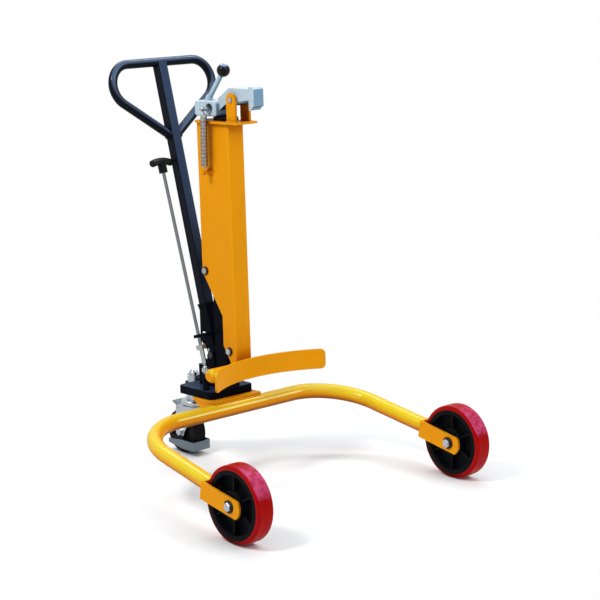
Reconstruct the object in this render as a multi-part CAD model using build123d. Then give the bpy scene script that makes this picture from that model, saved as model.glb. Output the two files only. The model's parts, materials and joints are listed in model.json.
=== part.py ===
from build123d import *
import math
import os

os.makedirs("parts", exist_ok=True)

# Frame of the part: the carried drum's axis stands on the origin, the floor is Z = 0,
# the front wheels lie toward -Y and the operator walks at +Y.

# Fits shared by several pieces
running_fit = 0.05
side_play = 0.3
bolt_clearance = 0.5

# Drum and its cradle
drum_diameter = 585.0
cradle_radius = 310.0
cradle_thickness = 6.0
cradle_height = 55.0
cradle_half_chord = 194.0
cradle_corner_radius = 14.0
cradle_rise = 46.5
crossbar_depth = 45.0
crossbar_height = 38.0
crossbar_length = 290.0
crossbar_drop = 5.0
crossbar_weld_bite = 1.5
crossbar_end_round = 13.0

# Bent frame tube
tube_diameter = 42.4
tube_wall = 3.0
tube_bend_radius = 168.0
tube_corner_x = 363.0
tube_height = 175.4

# Front wheels and forks
wheel_diameter = 200.0
wheel_width = 50.0
wheel_track = 777.0
wheel_ahead = 89.3
tyre_thickness = 11.5
tyre_shoulder = 7.0
hub_rim_depth = 12.0
hub_web_thickness = 10.0
hub_boss_diameter = 76.0
hub_rib_count = 6
hub_rib_thickness = 5.0
hub_rib_inset = 5.0
hub_rib_root = 2.0
bearing_diameter = 40.0
bearing_width = 12.0
bearing_shoulder_diameter = 30.0
axle_diameter = 14.0
axle_hex = 21.0
axle_head_height = 5.5
axle_head_chamfer = 1.0
axle_nut_height = 7.0
axle_thread_end = 1.0
axle_washer_diameter = 32.0
axle_washer_thickness = 3.0
axle_spacer_diameter = 26.0
fork_side_gap = 4.0
fork_sheet = 6.0
fork_height = 48.0
fork_wheel_gap = 4.0
fork_nose_reach = 38.0
fork_nose_radius = 32.0

# Leaning tower: its own frame starts at the front top edge of the pump base
tower_lean = 2.08
tower_setback = 16.0
plate_thickness = 8.0
plate_half_width = 83.0
plate_front = -22.0
plate_rear = 72.0
gusset_thickness = 6.0
gusset_inset = 1.0
gusset_plate_inset = 2.0
gusset_rear_drop = 16.0
gusset_rear_inset = 27.0
gusset_depth = 40.0

# Pump base
base_thickness = 22.0
base_half_width = 76.5
base_length = 145.0
base_corner_radius = 14.0
base_edge_round = 2.5
tongue_overlap = 10.0
base_screw_diameter = 10.0
base_screw_hex = 17.0
base_screw_head = 6.5
base_screw_grip = 14.0
base_screw_x = 56.0
base_screw_rows = (28.0, 58.0)

# Guide column, jack and ram
column_half_width = 22.0
column_depth = 49.0
column_front = -6.7
column_wall = 3.0
column_height = 560.0
column_corner = 3.0
column_cap_height = 14.0
jack_gap = 1.0
ram_gap = 1.0
jack_floor = 12.0
ram_diameter = 28.0
ram_foot = 120.0

# Pump body and plunger
body_half_width = 26.0
body_gap = 0.3
body_depth = 39.4
body_height = 60.0
body_round = 6.0
reservoir_depth = 33.0
reservoir_height = 56.0
cheek_gap = 1.5
cheek_thickness = 7.5
cheek_depth = 27.4
pivot_setback = 13.4
pivot_z = 90.0
pivot_eye_radius = 12.0
pivot_pin_diameter = 14.0
pivot_pin_head = 20.0
pivot_pin_head_height = 3.0
plunger_diameter = 16.0
plunger_sleeve_diameter = 30.0
plunger_depth = 45.0
plunger_bottom_gap = 2.0
press_nose_diameter = 16.0
press_nose_length = 14.0
press_nose_gap = 0.4
press_pocket_gap = 1.0
press_pin_diameter = 7.0
press_heel_radius = 7.0
press_arm = 22.0
handle_swing = 55.0

# Mast
mast_side_gap = 1.5
mast_sheet = 4.0
mast_roller_gap = 4.0
mast_rear = 75.7
mast_bottom = 46.0
mast_top = 731.7
mast_bend = 6.0
flange_cut = ((90.0, 341.0), (-2.5, 206.0), (-2.0, 125.0), (-31.0, 79.0))
flange_cut_overrun = 10.0
top_plate_half_width = 38.4
top_plate_front = -102.0
top_plate_rear = 74.0
top_plate_thickness = 6.0
top_plate_corner = 5.0
guide_roller_diameter = 40.0
guide_roller_bore = 10.0
guide_roller_gap = 0.3
guide_roller_chamfer = 1.5
guide_roller_low = 111.0
guide_roller_high = 325.0
guide_bolt_hex = 16.0
guide_bolt_head = 5.0
guide_bolt_nut = 8.0
guide_bolt_thread_end = 2.0
guide_washer_diameter = 23.0
guide_washer_thickness = 2.5

# Clamp head, with heights measured from the top plate
ear_inner = 21.0
ear_thickness = 6.5
ear_front = -86.5
ear_rear = -50.5
ear_pin_height = 58.5
ear_pin_diameter = 12.0
ear_pin_head = 14.5
ear_pin_head_height = 3.0
arm_half_width = 17.0
arm_boss_diameter = 32.0
arm_top = 88.3
arm_neck_low = 59.3
arm_rear_top = 60.3
arm_rear_low = 25.3
arm_belly = ((-32.0, 43.3), (-82.0, 52.3))
arm_block_overlap = 4.0
beak_front = -151.0
beak_back = -130.0
beak_top = 93.3
beak_bottom = 39.5
beak_corner = 5.0
beak_taper = 4.0
beak_lip_front = -138.0
beak_lip_bottom = 33.0
block_half_width = 30.0
block_front = -10.0
block_rear = 80.0
block_bottom = 11.3
block_top = 52.3
block_round = 8.0
recess_depth = 20.0
recess_diameter = 28.0
lever_diameter = 14.0
lever_foot_y = 58.0
lever_foot_z = 48.3
lever_socket_depth = 8.0
lever_boss_diameter = 20.0
lever_boss_rise = 16.0
ball_diameter = 36.0
ball_y = -12.0
ball_z = 133.3

# Tension spring between the clamp arm and the mast
spring_plate_gap = 1.1
spring_pin_y = 18.0
spring_pin_z = 32.3
spring_span = 170.0
spring_pin_diameter = 10.0
spring_pin_overrun = 10.0
spring_pin_root = 18.0
spring_stud_hex = 17.0
spring_stud_hex_height = 7.0
spring_diameter = 19.0
spring_wire = 2.6
spring_pitch = 3.3
spring_half_turns = 21
spring_loop_gap = 0.5
spring_hook_neck = 9.5
spring_hook_angles = (-45, 45, 135, 205)

# Handle
handle_lean = 13.9
handle_offset = 10.0
stem_width = 30.0
stem_depth = 30.0
stem_wall = 3.0
stem_corner = 2.5
stem_foot = 135.0
loop_diameter = 25.0
loop_wall = 2.5
loop_top = 820.5
loop_half_width = 172.0
loop_corner_radius = 59.0
loop_foot = 617.0
socket_half_width = 18.0
socket_top = 141.0
socket_wall = 3.0
socket_rear_reach = 52.0
socket_rear_low = 33.0
socket_rear_high = 117.0

# Release rod and valve
rod_diameter = 9.5
rod_lean = 15.7
rod_ball_ahead = 17.9
rod_ball_diameter = 14.0
rod_stud_diameter = 7.0
rod_stud_length = 26.0
rod_sleeve_diameter = 13.0
rod_sleeve_start = 12.0
rod_sleeve_end = 51.0
rod_hex = 26.0
rod_hex_height = 13.0
rod_start = 30.0
rod_length = 545.0
rod_guide_at = 88.8
knob_bar_length = 82.0
knob_bar_diameter = 20.0
knob_bar_droop = 6.5
knob_hub_diameter = 24.0
knob_hub_length = 28.0
knob_bar_rise = 5.0
knob_stem_gap = 6.0
knob_turn = 12.5
valve_post_diameter = 18.0
valve_post_height = 46.0
valve_post_chamfer = 2.0
valve_spindle_diameter = 10.0
valve_spindle_depth = 16.0
valve_spindle_rise = 5.5
valve_cup_diameter = 20.0
valve_cup_floor = 4.0
valve_cup_lip_drop = 2.0
guide_thickness = 9.0
guide_slot_width = 10.3
guide_slot_length = 14.6
guide_wing_reach = 14.0
guide_half_depth = 12.0
guide_end_round = 11.0
guide_screw_diameter = 6.0
guide_screw_head = 11.0

# Castor
castor_setback = 168.5
castor_boss_diameter = 50.0
castor_bolt_diameter = 16.0
castor_bolt_head = 30.0
castor_bolt_head_height = 6.0
dome_nut_hex = 35.0
dome_nut_height = 22.0
nut_seat_margin = 4.0
nut_seat_drop = 8.0
nut_seat_clear = 10.0
castor_bolt_end_depth = 2.0
dome_diameter = 29.0
race_diameter = 75.0
race_height = 11.0
race_round = 5.0
race_neck_diameter = 44.0
race_neck_height = 32.0
ball_ring_diameter = 60.0
ball_ring_bore = 40.0
race_gap = 5.0
crown_diameter = 70.0
crown_thickness = 7.0
crown_gap = 13.0
castor_diameter = 125.0
castor_width = 40.0
castor_trail = 36.0
castor_tyre = 14.0
castor_tyre_round = 6.0
castor_hub_rim = 6.0
castor_dish_depth = 5.0
castor_hub_boss = 28.0
castor_hub_bore = 12.0
yoke_gap = 2.0
yoke_sheet = 3.0
yoke_eye_radius = 18.0
yoke_front = -22.0
yoke_front_drop = 12.0
yoke_web_reach = 4.0
yoke_top_reach = 8.0
yoke_rear_reach = 18.0
yoke_rear_rise = 2.0
castor_hex = 19.0
castor_head_height = 7.0
castor_nut_height = 10.0
guard_sheet = 2.5
guard_bend = 8.0
guard_wheel_gap = 2.0
guard_low = 17.0
guard_high = 43.0
guard_taper_ahead = 18.0
guard_rear_reach = 43.0
guard_rear_low = 24.0
guard_rear_high = 36.0
guard_block_ahead = 18.0
guard_block_reach = 30.0
guard_block_height = 19.0
guard_block_thickness = 5.5
guard_block_gap = 1.5
pedal_half_width = 20.0
pedal_pin_reach = 11.0
pedal_pin_drop = 6.0
pedal_pin_diameter = 6.0
pedal_eye_radius = 6.0
pedal_heel = 4.0
pedal_shoulder = 7.0
pedal_reach = 27.0
pedal_rise = 14.0
pedal_sheet = 3.5
brake_pin_overrun = 2.0

# Values that follow from those above
lean = math.radians(tower_lean)
wheel_radius = wheel_diameter / 2
axle_y = -wheel_ahead
axle_z = wheel_radius
wheel_x = wheel_track / 2
hub_radius = wheel_radius - tyre_thickness
fork_gap = wheel_width + 2 * fork_side_gap
fork_outer = fork_gap / 2 + fork_sheet
fork_web_front = wheel_radius + fork_wheel_gap
fork_web_rear = fork_web_front + fork_sheet
mast_half_width = column_half_width + mast_side_gap + mast_sheet
mast_front = column_front - guide_roller_gap - guide_roller_diameter - mast_roller_gap - mast_sheet
cradle_mid = cradle_rise + cradle_height / 2
crossbar_y = mast_front - crossbar_depth / 2 + crossbar_weld_bite
cradle_back = crossbar_y - crossbar_depth / 2 + crossbar_weld_bite
cradle_face = cradle_back - cradle_thickness
tower_y = drum_diameter / 2 - cradle_face * math.cos(lean) - cradle_mid * math.sin(lean)
tube_drop = base_thickness + plate_thickness + tube_diameter / 2
tube_y = tower_y - tower_setback * math.cos(lean) - tube_drop * math.sin(lean)
tower_z = tube_height - tower_setback * math.sin(lean) + tube_drop * math.cos(lean)
leg_slope = math.degrees(math.atan2(tube_height - axle_z, tube_y - axle_y))
column_rear = column_front + column_depth
column_y = (column_front + column_rear) / 2
jack_diameter = 2 * (column_half_width - column_wall - jack_gap)
jack_bore = ram_diameter + 2 * ram_gap
gusset_outer_x = plate_half_width - gusset_inset
body_front = column_rear + body_gap
body_rear = body_front + body_depth
cheek_inner = socket_half_width + cheek_gap
cheek_outer = cheek_inner + cheek_thickness
cheek_rear = body_front + cheek_depth
pivot_y = body_front + pivot_setback
guide_reach = column_depth / 2 + guide_roller_diameter / 2 + guide_roller_gap
top_plate_top = mast_top + top_plate_thickness
ear_pin_y = (ear_front + ear_rear) / 2
ear_outer = ear_inner + ear_thickness
spring_x = -top_plate_half_width - spring_plate_gap - spring_diameter / 2
spring_pin_end = spring_x - spring_pin_overrun
spring_stud_y = spring_pin_y + spring_span * math.tan(lean)
spring_stud_z = spring_pin_z - spring_span
press_half = math.radians(handle_swing / 2)
press_y = pivot_y + press_arm * math.cos(press_half)
press_z = pivot_z + press_arm * math.sin(press_half)
plunger_y = pivot_y + press_arm * (1 + math.cos(press_half)) / 2
plunger_top = press_z - press_nose_diameter / 2 - press_nose_gap
castor_y = tower_y + castor_setback * math.cos(lean)
castor_seat = tower_z - castor_setback * math.sin(lean) - nut_seat_drop
castor_radius = castor_diameter / 2
crown_bottom = castor_diameter + crown_gap
crown_top = crown_bottom + crown_thickness
race_bottom = crown_top + race_gap
race_top = race_bottom + race_height
castor_boss_bottom = race_top + race_neck_height
pedal_pin_y = castor_trail + pedal_pin_reach
pedal_pin_z = crown_bottom - pedal_pin_drop
rod_x = -stem_width / 2 - knob_stem_gap - knob_bar_length / 2
rod_ball_y = pivot_y - rod_ball_ahead
cup_low = valve_post_height + valve_spindle_rise
rod_ball_z = cup_low + valve_cup_floor + rod_ball_diameter / 2

tower = Location((0, tower_y, tower_z), (-tower_lean, 0, 0))
head_frame = tower * Pos(0, 0, top_plate_top)
handle_frame = tower * Location((0, pivot_y + handle_offset, pivot_z), (-handle_lean, 0, 0))
rod_frame = tower * Location((rod_x, rod_ball_y, rod_ball_z), (-rod_lean, 0, 0))
castor_frame = Location((0, castor_y, 0))


# Shapes used again and again
def block(x_span, y_span, z_span):
    size = [span[1] - span[0] for span in (x_span, y_span, z_span)]
    middle = [(span[0] + span[1]) / 2 for span in (x_span, y_span, z_span)]
    return Pos(*middle) * Box(*size)


def rod_along_x(diameter, x_span, y, z):
    length = x_span[1] - x_span[0]
    return Pos((x_span[0] + x_span[1]) / 2, y, z) * Rot(0, 90, 0) * Cylinder(diameter / 2, length)


def rod_along_z(diameter, z_span, x, y):
    length = z_span[1] - z_span[0]
    return Pos(x, y, (z_span[0] + z_span[1]) / 2) * Cylinder(diameter / 2, length)


def hex_along_x(across_flats, x_span, y, z):
    outline = RegularPolygon(across_flats / 2, 6, major_radius=False)
    return Pos(x_span[0], y, z) * Rot(0, 90, 0) * extrude(outline, x_span[1] - x_span[0])


def hex_along_z(across_flats, z_span, x, y):
    outline = RegularPolygon(across_flats / 2, 6, major_radius=False)
    return Pos(x, y, z_span[0]) * extrude(outline, z_span[1] - z_span[0])


def side_plate(outline, x_span):
    face = Plane.YZ.offset(x_span[0]) * Polygon(*outline, align=None)
    return extrude(face, x_span[1] - x_span[0], dir=(1, 0, 0))


def both_sides(piece):
    return Compound(children=[*piece.solids(), *mirror(piece, Plane.YZ).solids()])


def tube_along(path, diameter, wall):
    section = Plane(path @ 0, z_dir=path % 0)
    outer = sweep(section * Circle(diameter / 2), path)
    inner = sweep(section * Circle(diameter / 2 - wall), path)
    return outer - inner


def corner_points(before, corner, after, radius):
    to_before = (Vector(before) - Vector(corner)).normalized()
    to_after = (Vector(after) - Vector(corner)).normalized()
    half = to_before.get_angle(to_after) / 2
    reach = radius / math.tan(math.radians(half))
    inward = (to_before + to_after).normalized()
    depth = radius / math.sin(math.radians(half)) - radius
    start = Vector(corner) + to_before * reach
    middle = Vector(corner) + inward * depth
    end = Vector(corner) + to_after * reach
    return start, middle, end


def save(name, shape):
    export_step(shape, "parts/" + name + ".step")


# Front wheels, built at the right side and mirrored to the left
def wheel_pieces(side):
    at_wheel = Location((side * wheel_x, axle_y, axle_z), (0, 90, 0))
    half = wheel_width / 2
    tyre = Cylinder(wheel_radius, wheel_width)
    tyre = fillet(tyre.edges(), tyre_shoulder)
    tyre = tyre - Cylinder(hub_radius, wheel_width)
    rim = Cylinder(hub_radius, wheel_width) - Cylinder(hub_radius - hub_rim_depth, wheel_width)
    web = Cylinder(hub_radius - hub_rim_depth / 2, hub_web_thickness)
    boss = Cylinder(hub_boss_diameter / 2, wheel_width)
    hub = rim + web + boss
    rib_start = hub_boss_diameter / 2 - hub_rib_root
    rib_end = hub_radius - hub_rim_depth / 2
    rib = block(
        (rib_start, rib_end),
        (-hub_rib_thickness / 2, hub_rib_thickness / 2),
        (-half + hub_rib_inset, half - hub_rib_inset),
    )
    for index in range(hub_rib_count):
        hub = hub + Rot(0, 0, index * 360 / hub_rib_count) * rib
    hub = hub - Cylinder(bearing_shoulder_diameter / 2, wheel_width)
    seats = [Pos(0, 0, end * (half - bearing_width / 2)) for end in (-1, 1)]
    ring = Cylinder(bearing_diameter / 2, bearing_width)
    ring_bore = Cylinder(axle_diameter / 2 + running_fit, bearing_width)
    for seat in seats:
        hub = hub - seat * ring
    bearings = [seat * (ring - ring_bore) for seat in seats]
    bearings = bearings[0] + bearings[1]
    return at_wheel * tyre, at_wheel * hub, at_wheel * bearings


for side, word in ((-1, "left"), (1, "right")):
    tyre, hub, bearings = wheel_pieces(side)
    save(word + "_wheel_tyre", tyre)
    save(word + "_wheel_hub", hub)
    save(word + "_wheel_bearings", bearings)

# Axle bolts: the head is outside and the nut inside
washer_outer = fork_outer + axle_washer_thickness
head_end = washer_outer + axle_head_height
nut_end = washer_outer + axle_nut_height
axle_bolt = hex_along_x(axle_hex, (washer_outer, head_end), 0, 0)
axle_bolt = chamfer(axle_bolt.faces().sort_by(Axis.X)[-1].edges(), axle_head_chamfer)
axle_bolt = axle_bolt + rod_along_x(axle_diameter, (-nut_end - axle_thread_end, washer_outer), 0, 0)
axle_nut = hex_along_x(axle_hex, (-nut_end, -washer_outer), 0, 0)
axle_nut = axle_nut - rod_along_x(axle_diameter, (-nut_end, -washer_outer), 0, 0)
washer = rod_along_x(axle_washer_diameter, (fork_outer, washer_outer), 0, 0)
washer = washer - rod_along_x(axle_diameter + bolt_clearance * 2, (fork_outer, washer_outer), 0, 0)
washers = both_sides(washer)
spacer_span = (wheel_width / 2 + side_play, fork_gap / 2)
spacer = rod_along_x(axle_spacer_diameter, spacer_span, 0, 0)
spacer = spacer - rod_along_x(axle_diameter + bolt_clearance * 2, spacer_span, 0, 0)
spacers = both_sides(spacer)
right_axle = Pos(wheel_x, axle_y, axle_z)
save("axle_bolts", both_sides(right_axle * Compound(children=[axle_bolt, axle_nut])))
save("axle_washers", both_sides(right_axle * Compound(children=[washers, spacers])))

# Wheel forks lie along the sloping legs
fork_frame = Location((wheel_x, axle_y, axle_z), (leg_slope, 0, 0))
fork_half = fork_height / 2
fork = block((-fork_outer, fork_outer), (0, fork_web_rear), (-fork_half, fork_half))
nose_y = fork_nose_radius - fork_nose_reach
fork_nose = rod_along_x(fork_nose_radius * 2, (-fork_outer, fork_outer), nose_y, 0)
fork = fork + (fork_nose & block((-fork_outer, fork_outer), (-fork_nose_reach, 0), (-fork_half, fork_half)))
fork_room = block((-fork_gap / 2, fork_gap / 2), (-fork_height, fork_web_front), (-fork_height, fork_height))
fork = fork - fork_room
fork = fork - rod_along_x(axle_diameter + bolt_clearance * 2, (-fork_outer, fork_outer), 0, 0)
right_fork = fork_frame * fork
save("right_wheel_fork", right_fork)
save("left_wheel_fork", mirror(right_fork, Plane.YZ))

# Frame tube: two legs and a rear run, joined by two bends
leg_end = Vector(wheel_x, axle_y, axle_z)
leg_corner = Vector(tube_corner_x, tube_y, tube_height)
far_corner = Vector(-tube_corner_x, tube_y, tube_height)
far_end = Vector(-wheel_x, axle_y, axle_z)
bend_in, bend_mid, bend_out = corner_points(leg_end, leg_corner, far_corner, tube_bend_radius)
far_in, far_mid, far_out = corner_points(leg_corner, far_corner, far_end, tube_bend_radius)
tube_path = Wire(
    [
        Line(leg_end, bend_in),
        ThreePointArc(bend_in, bend_mid, bend_out),
        Line(bend_out, far_in),
        ThreePointArc(far_in, far_mid, far_out),
        Line(far_out, far_end),
    ]
)
frame_tube = tube_along(tube_path, tube_diameter, tube_wall)
fork_space = block((-fork_height, fork_height), (-fork_height, fork_web_rear), (-fork_height, fork_height))
right_space = fork_frame * fork_space
frame_tube = frame_tube - right_space - mirror(right_space, Plane.YZ)
save("frame_tube", frame_tube)

# Mounting plate and gussets, welded on top of the rear run
plate_low = -base_thickness - plate_thickness
tube_core = rod_along_x(tube_diameter, (-plate_half_width, plate_half_width), -tower_setback, -tube_drop)
mounting_plate = block(
    (-plate_half_width, plate_half_width), (plate_front, plate_rear), (plate_low, -base_thickness)
)
for row in base_screw_rows:
    for x in (-base_screw_x, base_screw_x):
        mounting_plate = mounting_plate - rod_along_z(
            base_screw_diameter + bolt_clearance * 2, (plate_low, -base_thickness), x, row
        )
save("mounting_plate", tower * mounting_plate)

gusset_outline = (
    (-tower_setback, plate_low),
    (plate_rear - gusset_plate_inset, plate_low),
    (plate_rear - gusset_rear_inset, plate_low - gusset_rear_drop),
    (-tower_setback, plate_low - gusset_depth),
)
gusset = side_plate(gusset_outline, (gusset_outer_x - gusset_thickness, gusset_outer_x)) - tube_core
save("mount_gussets", tower * both_sides(gusset))

screw = rod_along_z(base_screw_diameter, (plate_low, -base_thickness + base_screw_grip), 0, 0)
screw = screw + hex_along_z(base_screw_hex, (plate_low - base_screw_head, plate_low), 0, 0)
screw_places = [Pos(x, row, 0) for row in base_screw_rows for x in (-base_screw_x, base_screw_x)]
base_screws = Compound(children=[place * screw for place in screw_places])
save("base_screws", tower * base_screws)

# Pump base: a plate with a rear boss that stands plumb over the castor
base = block((-base_half_width, base_half_width), (0, base_length), (-base_thickness, 0))
base = fillet(base.edges().filter_by(Axis.Z), base_corner_radius)
base = fillet(base.faces().sort_by(Axis.Z)[-1].edges(), base_edge_round)
tongue_half = castor_boss_diameter / 2
tongue_span = (base_length - tongue_overlap, castor_setback)
tongue = block((-tongue_half, tongue_half), tongue_span, (-base_thickness, -nut_seat_drop))
base = base + tongue
for place in screw_places:
    base = base - place * rod_along_z(
        base_screw_diameter, (-base_thickness, -base_thickness + base_screw_grip), 0, 0
    )
base = tower * base
base = base + rod_along_z(castor_boss_diameter, (castor_boss_bottom, castor_seat), 0, castor_y)
nut_seat_diameter = dome_nut_hex + 2 * nut_seat_margin
base = base - rod_along_z(nut_seat_diameter, (castor_seat, castor_seat + nut_seat_clear), 0, castor_y)
base = base - rod_along_z(
    castor_bolt_diameter + bolt_clearance * 2, (castor_boss_bottom, castor_seat), 0, castor_y
)
save("pump_base", base)

# Guide column with the jack inside
column_x = (-column_half_width, column_half_width)
column = block(column_x, (column_front, column_rear), (0, column_height))
column = fillet(column.edges().filter_by(Axis.Z), column_corner)
column_room = block(
    (-column_half_width + column_wall, column_half_width - column_wall),
    (column_front + column_wall, column_rear - column_wall),
    (0, column_height),
)
column = column - column_room
save("guide_column", tower * column)

jack = rod_along_z(jack_diameter, (0, column_height), 0, column_y)
jack = jack - rod_along_z(jack_bore, (jack_floor, column_height), 0, column_y)
save("jack_cylinder", tower * jack)

cap_top = column_height + column_cap_height
column_cap = block(column_x, (column_front, column_rear), (column_height, cap_top))
column_cap = fillet(column_cap.edges().filter_by(Axis.Z), column_corner)
column_cap = column_cap - rod_along_z(ram_diameter + running_fit * 2, (column_height, cap_top), 0, column_y)
save("column_cap", tower * column_cap)

ram = rod_along_z(ram_diameter, (ram_foot, mast_top), 0, column_y)
save("lift_ram", tower * ram)

# Pump body with an oil reservoir behind it and two cheeks that hold the handle's pivot
pump_body = block((-body_half_width, body_half_width), (body_front, body_rear), (0, body_height))
reservoir_span = (body_rear - body_round, body_rear + reservoir_depth)
reservoir = block((-body_half_width, body_half_width), reservoir_span, (0, reservoir_height))
reservoir = fillet(reservoir.edges().filter_by(Axis.Z).sort_by(Axis.Y)[-2:], body_round)
pump_body = pump_body + reservoir
pump_body = pump_body + rod_along_z(plunger_sleeve_diameter, (0, body_height), 0, plunger_y)
cheek_outline = (
    (body_front, 0),
    (cheek_rear, 0),
    (cheek_rear, body_height),
    (pivot_y + pivot_eye_radius, pivot_z),
    (pivot_y - pivot_eye_radius, pivot_z),
    (body_front, body_height),
)
cheek_span = (cheek_inner, cheek_outer)
cheek = side_plate(cheek_outline, cheek_span)
cheek = cheek + rod_along_x(pivot_eye_radius * 2, cheek_span, pivot_y, pivot_z)
pivot_hole = rod_along_x(pivot_pin_diameter + bolt_clearance, (-cheek_outer, cheek_outer), pivot_y, pivot_z)
pump_body = pump_body + cheek + mirror(cheek, Plane.YZ) - pivot_hole
plunger_hole_floor = body_height - plunger_depth
pump_body = pump_body - rod_along_z(
    plunger_diameter + running_fit * 2, (plunger_hole_floor, body_height), 0, plunger_y
)
save("pump_body", tower * pump_body)

pin_reach = cheek_outer + pivot_pin_head_height
pivot_pin = rod_along_x(pivot_pin_diameter, (-cheek_outer, cheek_outer), pivot_y, pivot_z)
pin_head = rod_along_x(pivot_pin_head, (cheek_outer, pin_reach), pivot_y, pivot_z)
pivot_pin = pivot_pin + pin_head + mirror(pin_head, Plane.YZ)
save("handle_pivot_pin", tower * pivot_pin)

press_drop = 2 * press_arm * math.sin(press_half)
plunger_foot = plunger_hole_floor + press_drop + plunger_bottom_gap
plunger = rod_along_z(plunger_diameter, (plunger_foot, plunger_top), 0, plunger_y)
save("pump_plunger", tower * plunger)

# Mast channel, open to the rear, with its flanges cut away near the foot
mast = block((-mast_half_width, mast_half_width), (mast_front, mast_rear), (mast_bottom, mast_top))
mast = fillet(mast.edges().filter_by(Axis.Z).sort_by(Axis.Y)[:2], mast_bend)
mast_inner = mast_half_width - mast_sheet
mast_room = block((-mast_inner, mast_inner), (mast_front + mast_sheet, mast_rear), (mast_bottom, mast_top))
mast_room = fillet(mast_room.edges().filter_by(Axis.Z).sort_by(Axis.Y)[:2], mast_bend - mast_sheet)
mast = mast - mast_room
cut_low = mast_bottom - flange_cut_overrun
web_inside = mast_front + mast_sheet
cut_outline = flange_cut + ((web_inside, mast_bottom), (web_inside, cut_low), (flange_cut[0][0], cut_low))
mast = mast - side_plate(cut_outline, (-mast_half_width, mast_half_width))
roller_places = ((column_y - guide_reach, guide_roller_low), (column_y + guide_reach, guide_roller_high))
guide_hole = guide_roller_bore + bolt_clearance * 2
for y, z in roller_places:
    mast = mast - rod_along_x(guide_hole, (-mast_half_width, mast_half_width), y, z)
save("mast_channel", tower * mast)

top_plate = block(
    (-top_plate_half_width, top_plate_half_width),
    (top_plate_front, top_plate_rear),
    (mast_top, top_plate_top),
)
top_plate = fillet(top_plate.edges().filter_by(Axis.Z), top_plate_corner)
save("top_plate", tower * top_plate)

# Guide rollers on bolts through the mast
bolt_washer_end = mast_half_width + guide_washer_thickness
roller_half = mast_inner - side_play
guide_bolts = []
guide_washers = []
for (y, z), word in zip(roller_places, ("front", "rear")):
    roller = rod_along_x(guide_roller_diameter, (-roller_half, roller_half), y, z)
    roller = chamfer(roller.edges(), guide_roller_chamfer)
    roller = roller - rod_along_x(guide_roller_bore + running_fit * 2, (-roller_half, roller_half), y, z)
    save(word + "_guide_roller", tower * roller)
    bolt_nut_end = bolt_washer_end + guide_bolt_nut
    bolt = hex_along_x(guide_bolt_hex, (-bolt_washer_end - guide_bolt_head, -bolt_washer_end), y, z)
    shank_span = (-bolt_washer_end, bolt_nut_end + guide_bolt_thread_end)
    bolt = bolt + rod_along_x(guide_roller_bore, shank_span, y, z)
    guide_bolts.append(bolt)
    ring_span = (mast_half_width, bolt_washer_end)
    ring = rod_along_x(guide_washer_diameter, ring_span, y, z)
    ring = ring - rod_along_x(guide_hole, ring_span, y, z)
    guide_washers.append(ring)
    guide_washers.append(mirror(ring, Plane.YZ))
    nut = hex_along_x(guide_bolt_hex, (bolt_washer_end, bolt_nut_end), y, z)
    guide_bolts.append(nut - rod_along_x(guide_roller_bore, (bolt_washer_end, bolt_nut_end), y, z))
save("guide_bolts", tower * Compound(children=guide_bolts))
save("guide_washers", tower * Compound(children=guide_washers))

# Drum cradle and its crossbar
cradle_centre = cradle_face - cradle_radius
cradle_span = (cradle_rise, cradle_rise + cradle_height)
outer_radius = cradle_radius + cradle_thickness
cradle_core = rod_along_z(outer_radius * 2, cradle_span, 0, cradle_centre)
cradle = cradle_core - rod_along_z(cradle_radius * 2, cradle_span, 0, cradle_centre)
wedge_reach = 2 * cradle_radius
wedge_angle = math.asin(cradle_half_chord / cradle_radius)
wedge_outline = Polygon(
    (0, cradle_centre),
    (wedge_reach * math.sin(wedge_angle), cradle_centre + wedge_reach * math.cos(wedge_angle)),
    (-wedge_reach * math.sin(wedge_angle), cradle_centre + wedge_reach * math.cos(wedge_angle)),
    align=None,
)
wedge = Pos(0, 0, cradle_rise) * extrude(wedge_outline, cradle_height)
cradle = cradle & wedge
end_edges = [
    edge
    for edge in cradle.edges().filter_by(GeomType.LINE)
    if abs(edge.length - cradle_thickness) < 0.01
]
cradle = fillet(end_edges, cradle_corner_radius)
save("drum_cradle", tower * cradle)

half_bar = crossbar_length / 2
crossbar_z = cradle_mid - crossbar_drop
crossbar_oval = Plane.YZ * Ellipse(crossbar_depth / 2, crossbar_height / 2)
crossbar = extrude(crossbar_oval, half_bar, both=True)
crossbar_ends = [face for face in crossbar.faces() if abs(face.center().X) > half_bar / 2]
crossbar = fillet([edge for face in crossbar_ends for edge in face.edges()], crossbar_end_round)
crossbar = Pos(0, crossbar_y, crossbar_z) * crossbar
crossbar_room = block(
    (-half_bar, half_bar), (mast_front, mast_front + crossbar_depth), (0, cradle_rise + 2 * cradle_height)
)
tall_core = rod_along_z(outer_radius * 2, (0, cradle_rise + 2 * cradle_height), 0, cradle_centre)
crossbar = crossbar - crossbar_room - tall_core
save("cradle_crossbar", tower * crossbar)

# Clamp ears and their pin
ear_round = (ear_rear - ear_front) / 2
ear = block((ear_inner, ear_outer), (ear_front, ear_rear), (0, ear_pin_height))
ear = ear + rod_along_x(ear_round * 2, (ear_inner, ear_outer), ear_pin_y, ear_pin_height)
ear = ear - rod_along_x(ear_pin_diameter + bolt_clearance, (ear_inner, ear_outer), ear_pin_y, ear_pin_height)
save("clamp_ears", head_frame * both_sides(ear))

ear_pin = rod_along_x(ear_pin_diameter, (-ear_outer, ear_outer), ear_pin_y, ear_pin_height)
pin_head = rod_along_x(ear_pin_head, (ear_outer, ear_outer + ear_pin_head_height), ear_pin_y, ear_pin_height)
save("clamp_pivot_pin", head_frame * (ear_pin + pin_head + mirror(pin_head, Plane.YZ)))

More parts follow.
